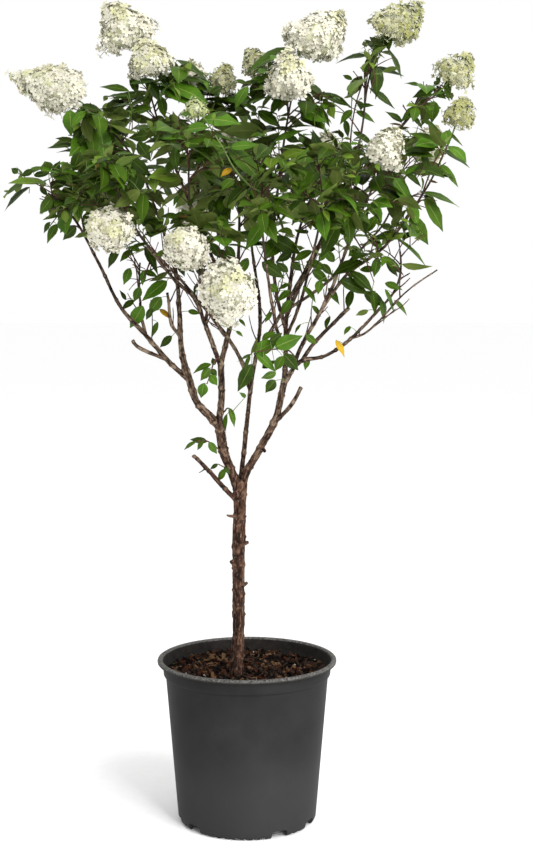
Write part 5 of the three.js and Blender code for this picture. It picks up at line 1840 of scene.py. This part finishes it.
def head_florets(index):
    """Points of the florets of one head, and the tone of each; stray florets get a stalk."""
    long, wide = HEADS[index][2] * HEAD_SCALE, HEADS[index][3] * HEAD_SCALE
    rng = np.random.default_rng(500 + index)
    young = index in GREEN_HEADS
    size = 6.5 if wide < 50 else 12.5 if young else 16.5
    layers = 1.3 if young else 1.75
    count = int(4 * math.pi * (wide / 2) * (long / 2) * layers / (size * size * 0.62))
    z = 1 - 2 * (np.arange(count) + 0.5) / count
    flat = np.sqrt(1 - z * z)
    turn = np.arange(count) * GOLDEN_ANGLE + rng.uniform(-0.25, 0.25, count)
    ball = np.column_stack([np.cos(turn) * flat, np.sin(turn) * flat, z])
    stray = rng.uniform(0, 1, count) < (0.85 if index == BUD else 0.5 if young else 0.18)
    lump = 1 + 0.21 * lattice_noise(ball + index * 9, 0.5, 6) + rng.uniform(-0.07, 0.05, count)
    lump += stray * rng.uniform(-0.15 if young else 0.06, 0.2, count)
    local = cone_points(ball, wide, long) * lump[:, None] * (1 - size * 0.30 / wide)
    place = on_head(index, local)
    face = on_head(index, ball + (0, 0, 0.4) + rng.normal(0, 0.42, ball.shape), away=True)
    aside = np.cross(face, rng.normal(0, 1, ball.shape))
    aside /= np.linalg.norm(aside, axis=1)[:, None]
    scale = size * rng.uniform(0.82, 1.18, count) * np.where(stray, 0.85, 1)
    cup = rng.uniform(-0.8, 0.9, count)
    x, y, lift = (part[None, :, None] for part in FLORET.T)
    shape = (x * aside[:, None] + y * np.cross(face, aside)[:, None]
             + lift * cup[:, None, None] * face[:, None])
    patch = z * 0.6 + lattice_noise(ball + index * 5, 0.7, 8) * 0.8
    greener = patch + rng.uniform(-0.25, 0.25, count) > GREENER_FROM.get(index, 0.55)
    floret_stalks.extend(zip(on_head(index, local * 0.7)[stray], place[stray]))
    return place[:, None] + shape * scale[:, None, None], np.where(index == BUD, 2, greener)


def floret_piece(name, chosen):
    points, tones = map(np.concatenate, zip(*map(head_florets, chosen)))
    return copies(name, points, FLORET_FACES, np.repeat(tones, len(FLORET_FACES)), "floret", FLORET_UV)


white_florets = floret_piece("white_florets", [k for k in range(len(HEADS)) if k not in GREEN_HEADS])
green_florets = floret_piece("green_florets", GREEN_HEADS)
print("stray florets:", len(floret_stalks))

# %% [markdown]
# ### The hearts of the heads
# Between the florets the eye sees the branching stalks of the panicle, pale and in shadow. A core under
# the florets stands for them: an ico sphere, lumped by the same noise, for each head.

# %% The hearts of the heads
pick()
bpy.ops.mesh.primitive_ico_sphere_add(subdivisions=3, radius=1)
ball = bpy.context.object
ball_points = mesh_points(ball)
ball_faces = np.array([p.vertices[:] for p in ball.data.polygons])
bpy.data.objects.remove(ball)
heart_pile = Pile()
for index, (_, _, long, wide) in enumerate(HEADS):
    fill = 0.66 if index in GREEN_HEADS else 0.82
    lump = fill + 0.17 * lattice_noise(ball_points + index * 9, 0.5, 6)
    shape = cone_points(ball_points, wide * HEAD_SCALE, long * HEAD_SCALE) * lump[:, None]
    heart_pile.add(on_head(index, shape), ball_faces, 0)
hearts = heart_pile.become("panicle_hearts")

# %% [markdown]
# ## Twigs and leaf stalks
# Young hydrangea wood is red-brown and round, swollen a little at each node. The stalks are pale green.
# They are closed tubes on the shoots' own lines. A thin twig ends where it would leave the outline, unless
# it is one of the bare ones below the crown.

# %% Twigs and leaf stalks
THICK_TWIG = 1.55
BARE_BELOW = 1140
BARE_LEFT, BARE_RIGHT = 125, 412
twig_pile = Pile()
for line, foot, tip, age in twig_lines:
    if foot < THICK_TWIG:
        x = in_view(line)[:, 0]
        bare = (line[:, 2] < BARE_BELOW) & (x > BARE_LEFT) & (x < BARE_RIGHT)
        showing = inside_outline(line) | bare
        line = line if showing.all() else line[:np.argmin(showing)]
    if len(line) > 2:
        t = np.linspace(0, 1, len(line))
        nodes = 0.25 * (np.arange(len(line)) % 2)
        twig_pile.add(*tube(line, foot + (tip - foot) * t + nodes, 6), age)
for node, foot, blade, index in petiole_specs:
    if kept[index]:
        middle = (node + foot) / 2 + UP * 0.8
        stalk = tube([node, middle, foot + blade * 1.2], [0.8, 0.65, 0.6], 4)
        twig_pile.add(*stalk, GREEN_WOOD)
for root, end in floret_stalks:
    twig_pile.add(*tube([root, end], [0.7, 0.4], 4), GREEN_WOOD)
twigs = twig_pile.become("twigs")
print("twigs and stalks:", len(twig_pile.verts))

# %% Twig finishes
def twig_finish(name, dark, light):
    return speckled(name, (0.6, 1.45, 0.35), (120.0, 3.0), [(0.3, dark), (0.7, light)], (0.3, 0.0005))


twig_finishes = [twig_finish("brown twig wood", "#221610", "#48372c"),
                 twig_finish("red-brown young wood", "#2d1810", "#573524"),
                 twig_finish("green leaf stalk", "#516933", "#7a8b4b")]
heart = twig_finish("panicle stalks in shadow", "#cdceac", "#deddc6")

# %% [markdown]
# ### Floret finishes
# Sepals are thin and matt with the bloom of velvet, so they get a sheen over a roughness of 0.75. They are
# cream at the rim and yellow-green at the heart, where the true flower is. The distance from the middle of
# each floret's UV map gives the change.

# %% Floret finishes
def floret_finish(name, heart, sepal, rim):
    material, tree, shader, place = new_material(
        name, 0.75, 1.4, 0.25, Sheen_Weight=0.8, Sheen_Roughness=0.6, Sheen_Tint=linear("#f4f2e2"))
    uv = add_node(tree, "ShaderNodeUVMap", {"uv_map": "floret"}).outputs["UV"]
    centred = add_node(tree, "ShaderNodeMapping", Vector=uv, Location=(-0.5, -0.5, 0)).outputs["Vector"]
    far = add_node(tree, "ShaderNodeVectorMath", {"operation": "LENGTH"}, _0=centred).outputs["Value"]
    colour = ramp(tree, far, [(0.02, heart), (0.10, sepal), (0.40, rim)])
    dress(tree, shader, colour, noise(tree, place, 420.0), 0.2, 0.0005)
    return material


cream = floret_finish("cream sepals", "#a9aa74", "#c9c6b2", "#cecabb")
ivory = floret_finish("ivory-green sepals", "#949a5c", "#b6b688", "#c0be9e")
lime = floret_finish("young green sepals", "#6c7029", "#83853e", "#92925a")
pale = floret_finish("half-open sepals", "#888a4c", "#a5a376", "#aead88")
green_buds = floret_finish("green flower buds", "#868f4c", "#a3ac66", "#b4bb7e")

# %% [markdown]
# ## Joining the crown to the plant
# The leaves and twigs stand for every mass of foliage, and the florets and hearts for the masses that
# carry heads, so the solids of the masses don't show.

# %% Joining the crown to the plant
FOLIAGE_NODES = [name + "_foliage" for name in MASS_NAMES]
FLOWERING = [name + "_foliage" for name in MASS_NAMES if MASSES[name][5]]
finish_piece(front_leaves, "front_leaves", leaf_finishes, FOLIAGE_NODES)
finish_piece(back_leaves, "back_leaves", leaf_finishes, FOLIAGE_NODES)
finish_piece(twigs, "twigs", twig_finishes, FOLIAGE_NODES)
finish_piece(white_florets, "white_florets", [cream, ivory], FLOWERING)
finish_piece(green_florets, "green_florets", [pale, lime, green_buds], FLOWERING)
finish_piece(hearts, "panicle_hearts", [heart], FLOWERING)
